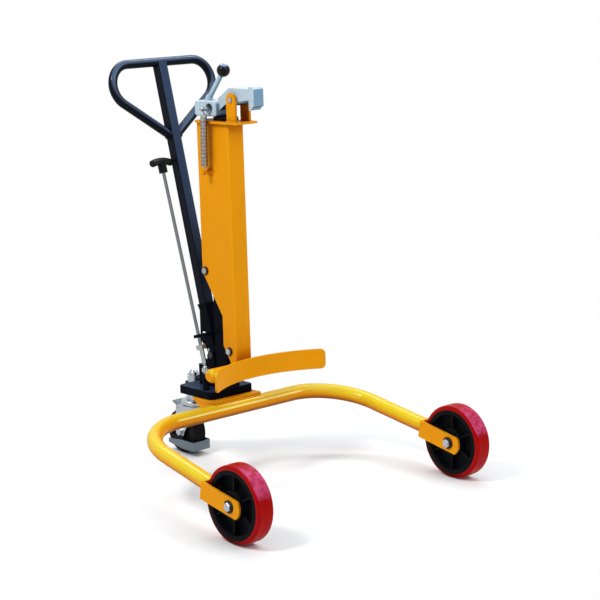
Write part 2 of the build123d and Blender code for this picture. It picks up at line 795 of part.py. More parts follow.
# Clamp arm: one casting with a beak in front and a block behind
arm_root = block_front + arm_block_overlap
arm_outline = (
    (beak_back, arm_top),
    (ear_rear, arm_top),
    (arm_root, arm_rear_top),
    (arm_root, arm_rear_low),
    *arm_belly,
    (beak_back, arm_neck_low),
)
arm = side_plate(arm_outline, (-arm_half_width, arm_half_width))
beak_outline = (
    (beak_front, beak_bottom + beak_taper),
    (beak_front, beak_top - beak_corner),
    (beak_front + beak_corner, beak_top),
    (beak_back, beak_top),
    (beak_back, beak_lip_bottom),
    (beak_lip_front, beak_lip_bottom),
    (beak_lip_front - beak_taper, beak_bottom),
)
arm = arm + side_plate(beak_outline, (-arm_half_width, arm_half_width))
arm_boss_half = ear_inner - side_play
arm = arm + rod_along_x(arm_boss_diameter, (-arm_boss_half, arm_boss_half), ear_pin_y, ear_pin_height)
rear_block = block(
    (-block_half_width, block_half_width), (block_front, block_rear), (block_bottom, block_top)
)
rear_block = fillet(rear_block.edges().filter_by(Axis.X), block_round)
rear_block = fillet(rear_block.edges().filter_by(Axis.Z), block_round / 2)
arm = arm + rear_block
lever_angle = math.degrees(math.atan2(lever_foot_y - ball_y, ball_z - lever_foot_z))
lever_reach = math.hypot(lever_foot_y - ball_y, ball_z - lever_foot_z)
lever_frame = Location((0, lever_foot_y, lever_foot_z), (lever_angle, 0, 0))
lever_hole_floor = -lever_socket_depth
arm = arm + lever_frame * rod_along_z(lever_boss_diameter, (lever_hole_floor, lever_boss_rise), 0, 0)
arm = arm - lever_frame * rod_along_z(lever_diameter, (lever_hole_floor, lever_boss_rise), 0, 0)
recess_x = (-block_half_width, -block_half_width + recess_depth)
arm = arm - rod_along_x(recess_diameter, recess_x, spring_pin_y, spring_pin_z)
pin_span = (spring_pin_end, spring_pin_root)
arm = arm - rod_along_x(spring_pin_diameter, pin_span, spring_pin_y, spring_pin_z)
arm = arm - rod_along_x(
    ear_pin_diameter + running_fit * 2, (-arm_boss_half, arm_boss_half), ear_pin_y, ear_pin_height
)
save("clamp_arm", head_frame * arm)
save("spring_pin", head_frame * rod_along_x(spring_pin_diameter, pin_span, spring_pin_y, spring_pin_z))

ball_seat = lever_reach - ball_diameter / 4
lever = rod_along_z(lever_diameter, (lever_hole_floor, ball_seat), 0, 0)
save("clamp_lever", head_frame * lever_frame * lever)
ball = Pos(0, 0, lever_reach) * Sphere(ball_diameter / 2)
ball = ball - rod_along_z(lever_diameter, (0, ball_seat), 0, 0)
save("ball_knob", head_frame * lever_frame * ball)

stud_span = (spring_pin_end, -mast_half_width)
spring_stud = rod_along_x(spring_pin_diameter, stud_span, spring_stud_y, spring_stud_z)
stud_hex_span = (-mast_half_width - spring_stud_hex_height, -mast_half_width)
spring_stud = spring_stud + hex_along_x(spring_stud_hex, stud_hex_span, spring_stud_y, spring_stud_z)
save("spring_stud", head_frame * spring_stud)

# Tension spring: a plumb helix whose ends hook round the pin and the stud
pin_place = (head_frame * Pos(spring_x, spring_pin_y, spring_pin_z)).position
stud_place = (head_frame * Pos(spring_x, spring_stud_y, spring_stud_z)).position
spring_middle = (pin_place + stud_place) * 0.5
hook_height = (pin_place.Z - stud_place.Z) / 2
coil_radius = (spring_diameter - spring_wire) / 2
hook_radius = spring_pin_diameter / 2 + spring_loop_gap + spring_wire / 2
stations = []
for index in range(2 * spring_half_turns + 1):
    turn = index * math.pi
    place = Vector(coil_radius * math.cos(turn), coil_radius * math.sin(turn), index * spring_pitch / 2)
    climb = spring_pitch / (2 * math.pi)
    heading = Vector(-coil_radius * math.sin(turn), coil_radius * math.cos(turn), climb)
    stations.append((place, heading.normalized()))
hook_foot = hook_height - spring_hook_neck
stations.append((Vector(0, 0, hook_foot), Vector(0, 0, 1)))
for degrees in spring_hook_angles:
    angle = math.radians(degrees)
    place = Vector(0, hook_radius * math.cos(angle), hook_height + hook_radius * math.sin(angle))
    stations.append((place, Vector(0, -math.sin(angle), math.cos(angle))))
lower = [
    (Vector(place.X, -place.Y, -place.Z), Vector(-heading.X, heading.Y, heading.Z))
    for place, heading in stations[:0:-1]
]
stations = lower + stations


def biarc(start, start_heading, end, end_heading):
    span = end - start
    both = start_heading + end_heading
    bend = 2 * (1 - start_heading.dot(end_heading))
    along = span.dot(both)
    if bend < 1e-9:
        reach = span.dot(span) / (4 * span.dot(end_heading))
    else:
        reach = (math.sqrt(along * along + bend * span.dot(span)) - along) / bend
    first = start + start_heading * reach
    second = end - end_heading * reach
    joint = (first + second) * 0.5
    return joint, (second - first).normalized()


spring_edges = []
for (start, start_heading), (end, end_heading) in zip(stations, stations[1:]):
    joint, joint_heading = biarc(start, start_heading, end, end_heading)
    spring_edges.append(Edge.make_tangent_arc(start, start_heading, joint))
    spring_edges.append(Edge.make_tangent_arc(joint, joint_heading, end))
spring_path = Wire(spring_edges)
spring_section = Plane(stations[0][0], z_dir=stations[0][1]) * Circle(spring_wire / 2)
spring = Pos(*spring_middle) * sweep(spring_section, spring_path)
save("clamp_spring", spring)

points = []
travel = []
walked = 0.0
for edge in spring_edges:
    for share in (0.0, 0.25, 0.5, 0.75):
        points.append(edge @ share)
        travel.append(walked + share * edge.length)
    walked = walked + edge.length
least_gap = 1e9
for i, first in enumerate(points):
    for j in range(i + 1, len(points)):
        if travel[j] - travel[i] > 4 * spring_wire:
            least_gap = min(least_gap, (points[j] - first).length - spring_wire)
print("spring turns", 2 * spring_half_turns, "least gap to itself", round(least_gap, 2), "mm")

# Handle loop and stem, drawn in the handle's own leaning frame
corner_x = loop_half_width - loop_corner_radius
corner_s = loop_top - loop_corner_radius
foot_x = stem_width / 2
to_foot = math.atan2(loop_foot - corner_s, foot_x - corner_x)
foot_distance = math.hypot(loop_foot - corner_s, foot_x - corner_x)
leave = to_foot + math.acos(loop_corner_radius / foot_distance)


def on_corner(angle, sign):
    x = corner_x + loop_corner_radius * math.cos(angle)
    s = corner_s + loop_corner_radius * math.sin(angle)
    return Vector(sign * x, 0, s)


middle_angle = (leave + math.pi / 2) / 2
foot_overlap = 0.1
loop_edges = []
for sign in (-1, 1):
    foot = Vector(sign * foot_x, 0, loop_foot)
    leave_point = on_corner(leave, sign)
    deeper = foot + (foot - leave_point) * foot_overlap
    straight = Line(deeper, leave_point)
    arc = ThreePointArc(leave_point, on_corner(middle_angle, sign), on_corner(math.pi / 2, sign))
    loop_edges.append((straight, arc))
bar = Line(on_corner(math.pi / 2, -1), on_corner(math.pi / 2, 1))
back_arc = ThreePointArc(on_corner(math.pi / 2, 1), on_corner(middle_angle, 1), on_corner(leave, 1))
back_straight = Line(loop_edges[1][0] @ 1, loop_edges[1][0] @ 0)
loop_path = Wire([loop_edges[0][0], loop_edges[0][1], bar, back_arc, back_straight])
handle_loop = tube_along(loop_path, loop_diameter, loop_wall)
stem_half = (stem_width / 2, stem_depth / 2)
stem_span = (stem_foot, loop_top)
stem_x = (-stem_half[0], stem_half[0])
stem_y = (-stem_half[1], stem_half[1])
stem_core = block(stem_x, stem_y, (stem_foot, loop_top - loop_diameter))
handle_loop = handle_loop - stem_core
save("handle_loop", handle_frame * handle_loop)

stem = block(stem_x, stem_y, stem_span)
stem = fillet(stem.edges().filter_by(Axis.Z), stem_corner)
stem_room = block(
    (-stem_half[0] + stem_wall, stem_half[0] - stem_wall),
    (-stem_half[1] + stem_wall, stem_half[1] - stem_wall),
    stem_span,
)
stem = stem - stem_room
stem = stem - rod_along_x(loop_diameter, (-loop_half_width, loop_half_width), 0, loop_top)
stem = stem - block(stem_x, stem_y, (loop_top, loop_top + loop_diameter))
save("handle_stem", handle_frame * stem)

# Handle socket: it turns on the pivot pin and presses the plunger with a hardened nose
socket_span = (-socket_half_width, socket_half_width)
ring_half = stem_depth / 2 + socket_wall
ring_places = [Pos(0, end * ring_half, socket_top) for end in (-1, 1)]
handle_local = Location((0, pivot_y + handle_offset, pivot_z), (-handle_lean, 0, 0))
ring_front, ring_rear = [(handle_local * place).position for place in ring_places]
socket_outline = (
    (pivot_y - pivot_eye_radius, pivot_z),
    (ring_front.Y, ring_front.Z),
    (ring_rear.Y, ring_rear.Z),
    (pivot_y + socket_rear_reach, pivot_z + socket_rear_high),
    (pivot_y + socket_rear_reach, pivot_z + socket_rear_low),
    (press_y + press_heel_radius, press_z),
    (pivot_y, pivot_z - pivot_eye_radius / 2),
)
socket = side_plate(socket_outline, socket_span)
socket = socket + rod_along_x(pivot_eye_radius * 2, socket_span, pivot_y, pivot_z)
socket = socket + rod_along_x(press_heel_radius * 2, socket_span, press_y, press_z)
socket = socket - handle_local * stem_core
socket = socket - rod_along_x(pivot_pin_diameter + running_fit * 2, socket_span, pivot_y, pivot_z)
nose_half = press_nose_length / 2
pocket_half = nose_half + side_play
pocket_diameter = press_nose_diameter + 2 * press_pocket_gap
socket = socket - rod_along_x(pocket_diameter, (-pocket_half, pocket_half), press_y, press_z)
socket = socket - rod_along_x(press_pin_diameter, socket_span, press_y, press_z)
save("handle_socket", tower * socket)

press_nose = rod_along_x(press_nose_diameter, (-nose_half, nose_half), press_y, press_z)
press_nose = press_nose + rod_along_x(press_pin_diameter, socket_span, press_y, press_z)
save("press_nose", tower * press_nose)

# Guide for the release rod: a wing on the socket, slotted so that the rod can tip in it
guide_low = rod_guide_at - guide_thickness / 2
guide_high = rod_guide_at + guide_thickness / 2
wing_root = -socket_half_width - rod_x
wing = block((-guide_wing_reach, wing_root), (-guide_half_depth, guide_half_depth), (guide_low, guide_high))
wing = fillet(wing.edges().filter_by(Axis.Z).sort_by(Axis.X)[:2], guide_end_round)
slot_reach = (guide_slot_length - guide_slot_width) / 2
slot = block(
    (-guide_slot_width / 2, guide_slot_width / 2), (-slot_reach, slot_reach), (guide_low, guide_high)
)
for end in (-1, 1):
    slot = slot + rod_along_z(guide_slot_width, (guide_low, guide_high), 0, end * slot_reach)
wing = wing - slot
guide_screw_place = wing_root / 2
wing = wing - rod_along_z(guide_screw_diameter, (guide_low, guide_high), guide_screw_place, 0)
save("rod_guide", rod_frame * wing)

guide_screw = rod_along_z(guide_screw_diameter, (guide_low, guide_high), guide_screw_place, 0)
screw_dome = Pos(guide_screw_place, 0, guide_high) * Sphere(guide_screw_head / 2)
dome_span = (guide_high - guide_screw_head, guide_high)
dome_cut = rod_along_z(guide_screw_head * 2, dome_span, guide_screw_place, 0)
save("guide_screw", rod_frame * (guide_screw + (screw_dome - dome_cut)))

# Release rod with its knob; a ball stud lets it tip over the valve spindle
rod_end = rod_start + rod_length
release_rod = rod_along_z(rod_diameter, (rod_start, rod_end), 0, 0)
save("release_rod", rod_frame * release_rod)

hex_end = rod_sleeve_end + rod_hex_height
coupling = rod_along_z(rod_sleeve_diameter, (rod_sleeve_start, rod_sleeve_end), 0, 0)
coupling = coupling + hex_along_z(rod_hex, (rod_sleeve_end, hex_end), 0, 0)
coupling = coupling - rod_along_z(rod_diameter, (rod_start, hex_end), 0, 0)
coupling = coupling - rod_along_z(rod_stud_diameter + running_fit * 2, (rod_sleeve_start, rod_start), 0, 0)
save("rod_coupling", rod_frame * coupling)

knob_centre = rod_end + knob_bar_rise
knob_half = knob_bar_length / 2
knob_tip = knob_centre - knob_bar_droop
knob_arch = ThreePointArc((-knob_half, 0, knob_tip), (0, 0, knob_centre), (knob_half, 0, knob_tip))
knob_section = Plane(knob_arch @ 0, z_dir=knob_arch % 0) * Circle(knob_bar_diameter / 2)
knob = sweep(knob_section, path=knob_arch)
knob = fillet(knob.edges(), knob_bar_diameter / 6)
knob = knob + rod_along_z(knob_hub_diameter, (rod_end - knob_hub_length, knob_centre), 0, 0)
knob = knob - rod_along_z(rod_diameter, (rod_end - knob_hub_length, rod_end), 0, 0)
save("release_knob", rod_frame * Rot(Z=knob_turn) * knob)

ball_stud = Sphere(rod_ball_diameter / 2) + rod_along_z(rod_stud_diameter, (0, rod_stud_length), 0, 0)
save("release_ball_stud", rod_frame * ball_stud)

cup_high = rod_ball_z - valve_cup_lip_drop
spindle_low = valve_post_height - valve_spindle_depth
spindle = rod_along_z(valve_spindle_diameter, (spindle_low, cup_low), rod_x, rod_ball_y)
spindle = spindle + rod_along_z(valve_cup_diameter, (cup_low, cup_high), rod_x, rod_ball_y)
cup_hollow = Pos(rod_x, rod_ball_y, rod_ball_z) * Sphere(rod_ball_diameter / 2 + running_fit)
save("valve_spindle", tower * (spindle - cup_hollow))

post = rod_along_z(valve_post_diameter, (0, valve_post_height), rod_x, rod_ball_y)
post = chamfer(post.edges().sort_by(Axis.Z)[-1], valve_post_chamfer)
post_hole_span = (spindle_low - side_play, valve_post_height)
post = post - rod_along_z(valve_spindle_diameter + running_fit * 2, post_hole_span, rod_x, rod_ball_y)
save("release_valve_post", tower * post)

# Castor: the top race and king bolt stay with the base
race = rod_along_z(race_diameter, (race_bottom, race_top), 0, 0)
race = fillet(race.edges().sort_by(Axis.Z)[-1], race_round)
race = race + rod_along_z(race_neck_diameter, (race_top, castor_boss_bottom), 0, 0)
race = race + rod_along_z(ball_ring_diameter, (crown_top + side_play, race_bottom), 0, 0)
race = race - rod_along_z(ball_ring_bore, (crown_top, race_bottom), 0, 0)
race = race - rod_along_z(castor_bolt_diameter + bolt_clearance * 2, (race_bottom, castor_boss_bottom), 0, 0)
save("castor_race", castor_frame * race)

bolt_head_top = crown_bottom - side_play
nut_top = castor_seat + dome_nut_height
bolt_top = nut_top - castor_bolt_end_depth
king_bolt = rod_along_z(castor_bolt_diameter, (bolt_head_top, bolt_top), 0, 0)
king_bolt = king_bolt + rod_along_z(
    castor_bolt_head, (bolt_head_top - castor_bolt_head_height, bolt_head_top), 0, 0
)
dome_nut = hex_along_z(dome_nut_hex, (castor_seat, nut_top), 0, 0)
dome_nut = dome_nut + Pos(0, 0, nut_top) * Sphere(dome_diameter / 2)
dome_nut = dome_nut - rod_along_z(castor_bolt_diameter, (castor_seat, bolt_top), 0, 0)
save("castor_king_bolt", castor_frame * Compound(children=[king_bolt, dome_nut]))

yoke_inner = castor_width / 2 + yoke_gap
yoke_outer = yoke_inner + yoke_sheet
yoke_web_top = crown_bottom + yoke_sheet
leg_outline = (
    (yoke_front, yoke_web_top),
    (castor_trail + yoke_top_reach, yoke_web_top),
    (castor_trail + yoke_rear_reach, pedal_pin_z + yoke_rear_rise),
    (castor_trail + yoke_eye_radius, castor_radius),
    (castor_trail - yoke_eye_radius, castor_radius),
    (yoke_front, crown_bottom - yoke_front_drop),
)
leg_span = (yoke_inner, yoke_outer)
leg = side_plate(leg_outline, leg_span)
leg = leg + rod_along_x(yoke_eye_radius * 2, leg_span, castor_trail, castor_radius)
leg = leg - rod_along_x(castor_hub_bore + bolt_clearance * 2, leg_span, castor_trail, castor_radius)
leg = leg - rod_along_x(pedal_pin_diameter, leg_span, pedal_pin_y, pedal_pin_z)
yoke = rod_along_z(crown_diameter, (crown_bottom, crown_top), 0, 0)
yoke_web_rear = castor_trail + yoke_web_reach
yoke = yoke + block((-yoke_outer, yoke_outer), (yoke_front, yoke_web_rear), (crown_bottom, yoke_web_top))
yoke = yoke + leg + mirror(leg, Plane.YZ)
yoke = yoke - rod_along_z(castor_bolt_diameter + running_fit * 2, (crown_bottom, crown_top), 0, 0)
save("castor_yoke", castor_frame * yoke)

head_reach = yoke_outer + castor_head_height
nut_reach = yoke_outer + castor_nut_height
castor_bolt = rod_along_x(castor_hub_bore, (-yoke_outer, nut_reach), castor_trail, castor_radius)
castor_bolt = castor_bolt + hex_along_x(castor_hex, (-head_reach, -yoke_outer), castor_trail, castor_radius)
castor_nut = hex_along_x(castor_hex, (yoke_outer, nut_reach), castor_trail, castor_radius)
castor_nut = castor_nut - rod_along_x(castor_hub_bore, (yoke_outer, nut_reach), castor_trail, castor_radius)
save("castor_axle", castor_frame * Compound(children=[castor_bolt, castor_nut]))

castor_half = castor_width / 2
castor_hub_radius = castor_radius - castor_tyre
tyre = rod_along_x(castor_diameter, (-castor_half, castor_half), castor_trail, castor_radius)
tyre = fillet(tyre.edges(), castor_tyre_round)
tyre = tyre - rod_along_x(castor_hub_radius * 2, (-castor_half, castor_half), castor_trail, castor_radius)
save("castor_tyre", castor_frame * tyre)
hub_half = yoke_inner - side_play
hub = rod_along_x(castor_hub_radius * 2, (-castor_half, castor_half), castor_trail, castor_radius)
dish_diameter = 2 * (castor_hub_radius - castor_hub_rim)
for end in (-1, 1):
    dish = rod_along_x(dish_diameter, (-castor_dish_depth, castor_dish_depth), castor_trail, castor_radius)
    hub = hub - Pos(end * castor_half, 0, 0) * dish
hub = hub + rod_along_x(castor_hub_boss, (-hub_half, hub_half), castor_trail, castor_radius)
hub = hub - rod_along_x(castor_hub_bore + running_fit * 2, (-hub_half, hub_half), castor_trail, castor_radius)
save("castor_hub", castor_frame * hub)

# Foot guard: a bent strip round the castor wheel, held off the yoke by two blocks
guard_inner = yoke_outer + guard_block_thickness
guard_outer = guard_inner + guard_sheet
guard_front = castor_trail - castor_radius - guard_wheel_gap - guard_sheet
guard_rear = castor_trail + guard_rear_reach
guard_taper_start = castor_trail - guard_taper_ahead
guard = block((-guard_outer, guard_outer), (guard_front, guard_rear), (guard_low, guard_high))
guard = fillet(guard.edges().filter_by(Axis.Z).sort_by(Axis.Y)[:2], guard_bend)
guard_room_span = (guard_front + guard_sheet, guard_rear)
guard_room = block((-guard_inner, guard_inner), guard_room_span, (guard_low, guard_high))
guard_room = fillet(guard_room.edges().filter_by(Axis.Z).sort_by(Axis.Y)[:2], guard_bend - guard_sheet)
guard_outline = (
    (guard_front, guard_low),
    (guard_taper_start, guard_low),
    (guard_rear, guard_rear_low),
    (guard_rear, guard_rear_high),
    (guard_taper_start, guard_high),
    (guard_front, guard_high),
)
guard = (guard - guard_room) & side_plate(guard_outline, (-guard_outer, guard_outer))
save("foot_guard", castor_frame * guard)
guard_block_high = castor_radius - castor_hex / math.sqrt(3) - guard_block_gap
guard_block = block(
    (yoke_outer, guard_inner),
    (castor_trail - guard_block_ahead, castor_trail + guard_block_reach),
    (guard_block_high - guard_block_height, guard_block_high),
)
save("guard_blocks", castor_frame * both_sides(guard_block))

# Brake pedal behind the crown
pedal_span = (-pedal_half_width, pedal_half_width)
pedal_outline = (
    (pedal_pin_y - pedal_heel, pedal_pin_z),
    (pedal_pin_y + pedal_heel, pedal_pin_z),
    (pedal_pin_y + pedal_reach, pedal_pin_z + pedal_rise - pedal_sheet),
    (pedal_pin_y + pedal_reach, pedal_pin_z + pedal_rise),
    (pedal_pin_y + pedal_heel, pedal_pin_z + pedal_shoulder),
    (pedal_pin_y - pedal_heel, pedal_pin_z + pedal_eye_radius),
)
pedal = side_plate(pedal_outline, pedal_span)
pedal = pedal + rod_along_x(pedal_eye_radius * 2, pedal_span, pedal_pin_y, pedal_pin_z)
pedal = pedal - rod_along_x(pedal_pin_diameter + running_fit * 2, pedal_span, pedal_pin_y, pedal_pin_z)
save("brake_pedal", castor_frame * pedal)
brake_pin_half = yoke_outer + brake_pin_overrun
brake_pin = rod_along_x(pedal_pin_diameter, (-brake_pin_half, brake_pin_half), pedal_pin_y, pedal_pin_z)
save("brake_pin", castor_frame * brake_pin)
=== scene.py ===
"""Drum trolley: finishes, welds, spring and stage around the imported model."""
import json
import math

import bmesh
import bpy
from bpy.props import FloatProperty, FloatVectorProperty, IntProperty, PointerProperty
from mathutils import Matrix, Vector


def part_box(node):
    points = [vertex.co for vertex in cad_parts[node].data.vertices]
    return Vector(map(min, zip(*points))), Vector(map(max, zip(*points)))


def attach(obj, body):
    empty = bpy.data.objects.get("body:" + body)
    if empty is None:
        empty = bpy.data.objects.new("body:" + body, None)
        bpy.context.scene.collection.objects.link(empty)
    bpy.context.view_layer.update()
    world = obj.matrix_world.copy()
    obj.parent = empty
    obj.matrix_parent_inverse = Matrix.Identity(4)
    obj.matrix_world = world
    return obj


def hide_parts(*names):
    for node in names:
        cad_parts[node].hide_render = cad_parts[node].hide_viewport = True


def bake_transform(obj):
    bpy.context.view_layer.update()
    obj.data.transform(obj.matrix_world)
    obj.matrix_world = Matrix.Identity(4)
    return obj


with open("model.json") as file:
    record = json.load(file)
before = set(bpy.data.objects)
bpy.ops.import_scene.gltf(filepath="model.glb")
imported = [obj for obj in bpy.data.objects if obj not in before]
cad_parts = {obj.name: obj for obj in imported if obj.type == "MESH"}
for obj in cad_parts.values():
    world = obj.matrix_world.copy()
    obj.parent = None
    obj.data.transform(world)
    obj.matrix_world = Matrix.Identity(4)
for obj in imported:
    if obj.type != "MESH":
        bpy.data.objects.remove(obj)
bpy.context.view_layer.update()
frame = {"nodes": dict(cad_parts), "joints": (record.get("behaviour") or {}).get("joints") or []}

bl_info = {
    "name": "Drum trolley looks",
    "version": (1, 0, 0),
    "blender": (4, 5, 0),
    "location": "3D View > Sidebar > Trolley",
    "description": "Dresses the drum trolley with its paints, metals, welds and spring",
    "category": "Object",
}

NODES = frame["nodes"]
JOINTS = {joint["name"]: joint for joint in frame["joints"]}
SIDES = ((-1, "left"), (1, "right"))
ACROSS = Vector((1, 0, 0))
MM = 0.001


# Places: the tower leans with the mast, and the handle leans further
def leaning(origin, angle):
    """Frame at origin whose z leans back toward +Y by angle."""
    return Matrix.Translation(Vector(origin)) @ Matrix.Rotation(-angle, 4, "X")


LEAN = math.atan2(JOINTS["mast_lift"]["axis"][1], JOINTS["mast_lift"]["axis"][2])
HANDLE_LEAN = math.radians(13.9)
PIVOT = Vector(JOINTS["handle_swing"]["pos_m"])
PIVOT_IN_TOWER = Vector((0, 56, 90)) * MM
HANDLE_ROOT = Vector((0, 66, 90)) * MM
TOWER = leaning(PIVOT, LEAN) @ Matrix.Translation(-PIVOT_IN_TOWER)
HANDLE = TOWER @ leaning(HANDLE_ROOT, HANDLE_LEAN)
AXLE = Vector(JOINTS["right_wheel_spin"]["pos_m"])
# The corner of the tube that the right leg's line runs to from the axle, and how far from the axle the
# rear of the fork is, along the leg's slope seen from the side
LEG_CORNER = Vector((0.363, 0.37477, 0.1754))
FORK_REAR = 0.1105

# Radii of the rings of weld and of the wheels, in millimetres
TUBE_RING, STUD_RING, LOOP_RING, GRIP_RING = 21.6, 9.2, 13.0, 12.6
TREAD_RING, LIP_RING = 99.9, 80.5
# Radius of the bar of a hub's lip, and how far the lip is from the wheel's middle, in millimetres
LIP_BAR, LIP_SIDE = 1.6, 24.6

# Angles round the tube where a gusset is welded to it
GUSSET_ARC = [math.radians(degrees) for degrees in range(-62, 76, 6)]

# Places in the tower, in millimetres
TUBE_Y, TUBE_Z = -16, -51.2
GUSSET_SIDE = 82.5
MAST_SIDE = 27.8
TOP_PLATE_UNDER, TOP_PLATE_TOP = 731.2, 738
TOP_PLATE_BEAD = (74, -50)
EAR_INNER, EAR_FRONT, EAR_REAR, EAR_BEAD_OUT = 21.3, -86.5, -50.5, 0.3
CROSSBAR_HEIGHT, CROSSBAR_BEAD = 69.0, 7.3
STOP_LOW, STOP_HIGH, STOP_EDGE = (-20, -44, 737.9), (20, 14, 748.3), 1.2
# Beads across the tower: half their length, and their y
MOUNT_FRONT, MOUNT_FOOT = (81, -23.0), -31.6
TOP_PLATE_FRONT, CROSSBAR_REAR, CROSSBAR_FRONT = (22, -55.4), (21.5, -55.8), (27, -96.6)

# Places in the handle, in millimetres: x and z of the loop's foot and shoulder, x along the grip
LOOP_FOOT, LOOP_SHOULDER = (15.6, 617.4), (96.4, 676.3)
GRIP_END, GRIP_FURTHER, GRIP_HEIGHT = 15.4, 60, 820.5

# Places in the row frame, in millimetres; of each rib its far end and its lower and upper height
STUD_ROOT_X = -27.7
CHEEK_INNER, CHEEK_OUTER, RIB_NEAR_END, RIB_EDGE = 19.8, 26.8, 462.6, 1.5
CHEEK_RIBS = {"step": (469.0, 290.0, 312.0), "foot": (482.0, 278.0, 297.0)}

# Directions that finishes turn paler toward, as painted light, or deeper toward, as painted shade
UP = (0.0, 0.0, 1.0)
UNDERSIDE = (0.2, 0.1, -1.0)
# The tube gets a painted highlight line where it faces this way
HIGHLIGHT_LINE_HEADING = (0.0, -0.92, 0.39)
CASTING_FRONT = (0.0, -1.0, -0.35)
CASTING_UNDER = (0.0, -0.25, -1.0)
BALL_GLINT = (-0.15, -0.30, 0.94)
# The tread's painted sheen faces this way
TREAD_SHEEN_HEADING = (0.0, -0.80, 0.60)
# The side walls' painted shadow lies this way from the axle
WALL_SHADOW_HEADING = (0.0, 0.72, -0.70)


def at(place, *spots):
    """Points of a leaning frame, given in millimetres, as points of the row frame."""
    return [place @ (Vector(spot) * MM) for spot in spots]


def crosswise(half, y, z):
    """The two ends of a line across the tower's frame."""
    return at(TOWER, (-half, y, z), (half, y, z))


def aimed(point, heading):
    """A frame at point whose z runs along heading."""
    return Matrix.Translation(point) @ heading.to_track_quat("Z", "Y").to_matrix().to_4x4()


class PaintSettings(bpy.types.PropertyGroup):
    """Colours and gloss of the painted pieces."""
    yellow: FloatVectorProperty(
        name="Yellow", description="Paint of the frame, mast and cradle", subtype="COLOR",
        size=3, min=0, max=1, default=(0.82, 0.305, 0.002))
    yellow_gloss: FloatProperty(
        name="Yellow roughness", description="Roughness of the yellow paint", subtype="FACTOR",
        min=0, max=1, default=0.38)
    handle_black: FloatVectorProperty(
        name="Handle black", description="Paint of the handle", subtype="COLOR",
        size=3, min=0, max=1, default=(0.0035, 0.0055, 0.011))
    pump_black: FloatVectorProperty(
        name="Pump black", description="Paint of the pump castings", subtype="COLOR",
        size=3, min=0, max=1, default=(0.0035, 0.0045, 0.0080))
    arm_grey: FloatVectorProperty(
        name="Arm grey", description="Silver paint of the clamp arm", subtype="COLOR",
        size=3, min=0, max=1, default=(0.46, 0.57, 0.63))


class WheelSettings(bpy.types.PropertyGroup):
    """Colours of the front wheels and the size of their mould seam."""
    tread: FloatVectorProperty(
        name="Red tread", description="Polyurethane of the front tyres", subtype="COLOR",
        size=3, min=0, max=1, default=(0.36, 0.0015, 0.0015))
    hub: FloatVectorProperty(
        name="Hub", description="Nylon of the hubs", subtype="COLOR",
        size=3, min=0, max=1, default=(0.0038, 0.0046, 0.0058))
    seam: FloatProperty(
        name="Mould seam", description="Thickness of the seam round the tread", unit="LENGTH",
        min=0, max=0.002, default=0.0006)


class SpringSettings(bpy.types.PropertyGroup):
    """Sizes of the tension spring."""
    wire: FloatProperty(
        name="Wire", description="Wire diameter", unit="LENGTH", min=0.001, max=0.005, default=0.0026)
    width: FloatProperty(
        name="Width", description="Outside diameter", unit="LENGTH", min=0.01, max=0.03, default=0.019)
    pitch: FloatProperty(
        name="Pitch", description="Rise of one turn", unit="LENGTH", min=0.002, max=0.01, default=0.0033)
    turns: IntProperty(name="Turns", description="Turns between the hooks", min=4, max=100, default=42)
    hook: FloatProperty(
        name="Hook", description="Radius of the hooks' centre line", unit="LENGTH",
        min=0.003, max=0.02, default=0.0068)


class WeldSettings(bpy.types.PropertyGroup):
    """Sizes of the weld beads."""
    radius: FloatProperty(
        name="Bead", description="Radius of a bead", unit="LENGTH", min=0.001, max=0.008, default=0.003)
    ripple: FloatProperty(
        name="Ripple", description="Spacing of the ripples", unit="LENGTH",
        min=0.001, max=0.02, default=0.0042)


class StageSettings(bpy.types.PropertyGroup):
    """Camera, lamps and floor."""
    azimuth: FloatProperty(
        name="Azimuth", description="Where the camera stands round the trolley", subtype="ANGLE",
        default=math.radians(-42.34))
    elevation: FloatProperty(
        name="Elevation", description="Camera's height above the horizon", subtype="ANGLE",
        default=math.radians(12.39))
    roll: FloatProperty(
        name="Roll", description="Camera's turn about its own line of sight", subtype="ANGLE",
        default=math.radians(-0.33))
    distance: FloatProperty(
        name="Distance", description="From the camera to its target", unit="LENGTH", default=5.06512)
    target: FloatVectorProperty(
        name="Target", description="What the camera looks at", subtype="TRANSLATION",
        size=3, default=(0.17867, 0.3107, 0.45959))
    lens: FloatProperty(name="Lens", description="Focal length in millimetres", default=110.08)
    key: FloatProperty(name="Key lamp", description="Watts of the key lamp", default=72.0)
    fill: FloatProperty(name="Fill lamp", description="Watts of the fill lamp", default=52.0)
    strip: FloatProperty(
        name="Strip lamp", description="Watts of the long lamp above and behind", default=60.0)
    sky: FloatProperty(name="Sky", description="Light from overhead", default=0.62)
    horizon: FloatProperty(name="Horizon", description="Light from the sides", default=0.15)
    window: FloatProperty(name="Window", description="Extra light from the front right", default=0.7)
    floor: FloatVectorProperty(
        name="Floor", description="Colour of the floor", subtype="COLOR",
        size=3, min=0, max=1, default=(0.96, 0.93, 0.89))


class Flow:
    """A socket that can be used in sums, with plain numbers on either side."""

    def __init__(self, tree, socket):
        self.tree = tree
        self.socket = socket

    def math(self, kind, first, second):
        step = self.tree.nodes.new("ShaderNodeMath")
        step.operation = kind
        for entry, value in zip(step.inputs, (first, second)):
            if isinstance(value, Flow):
                self.tree.links.new(value.socket, entry)
            else:
                entry.default_value = value
        return Flow(self.tree, step.outputs[0])

    def __add__(self, other):
        return self.math("ADD", self, other)

    def __radd__(self, other):
        return self.math("ADD", other, self)

    def __sub__(self, other):
        return self.math("SUBTRACT", self, other)

    def __rsub__(self, other):
        return self.math("SUBTRACT", other, self)

    def __mul__(self, other):
        return self.math("MULTIPLY", self, other)

    def __rmul__(self, other):
        return self.math("MULTIPLY", other, self)


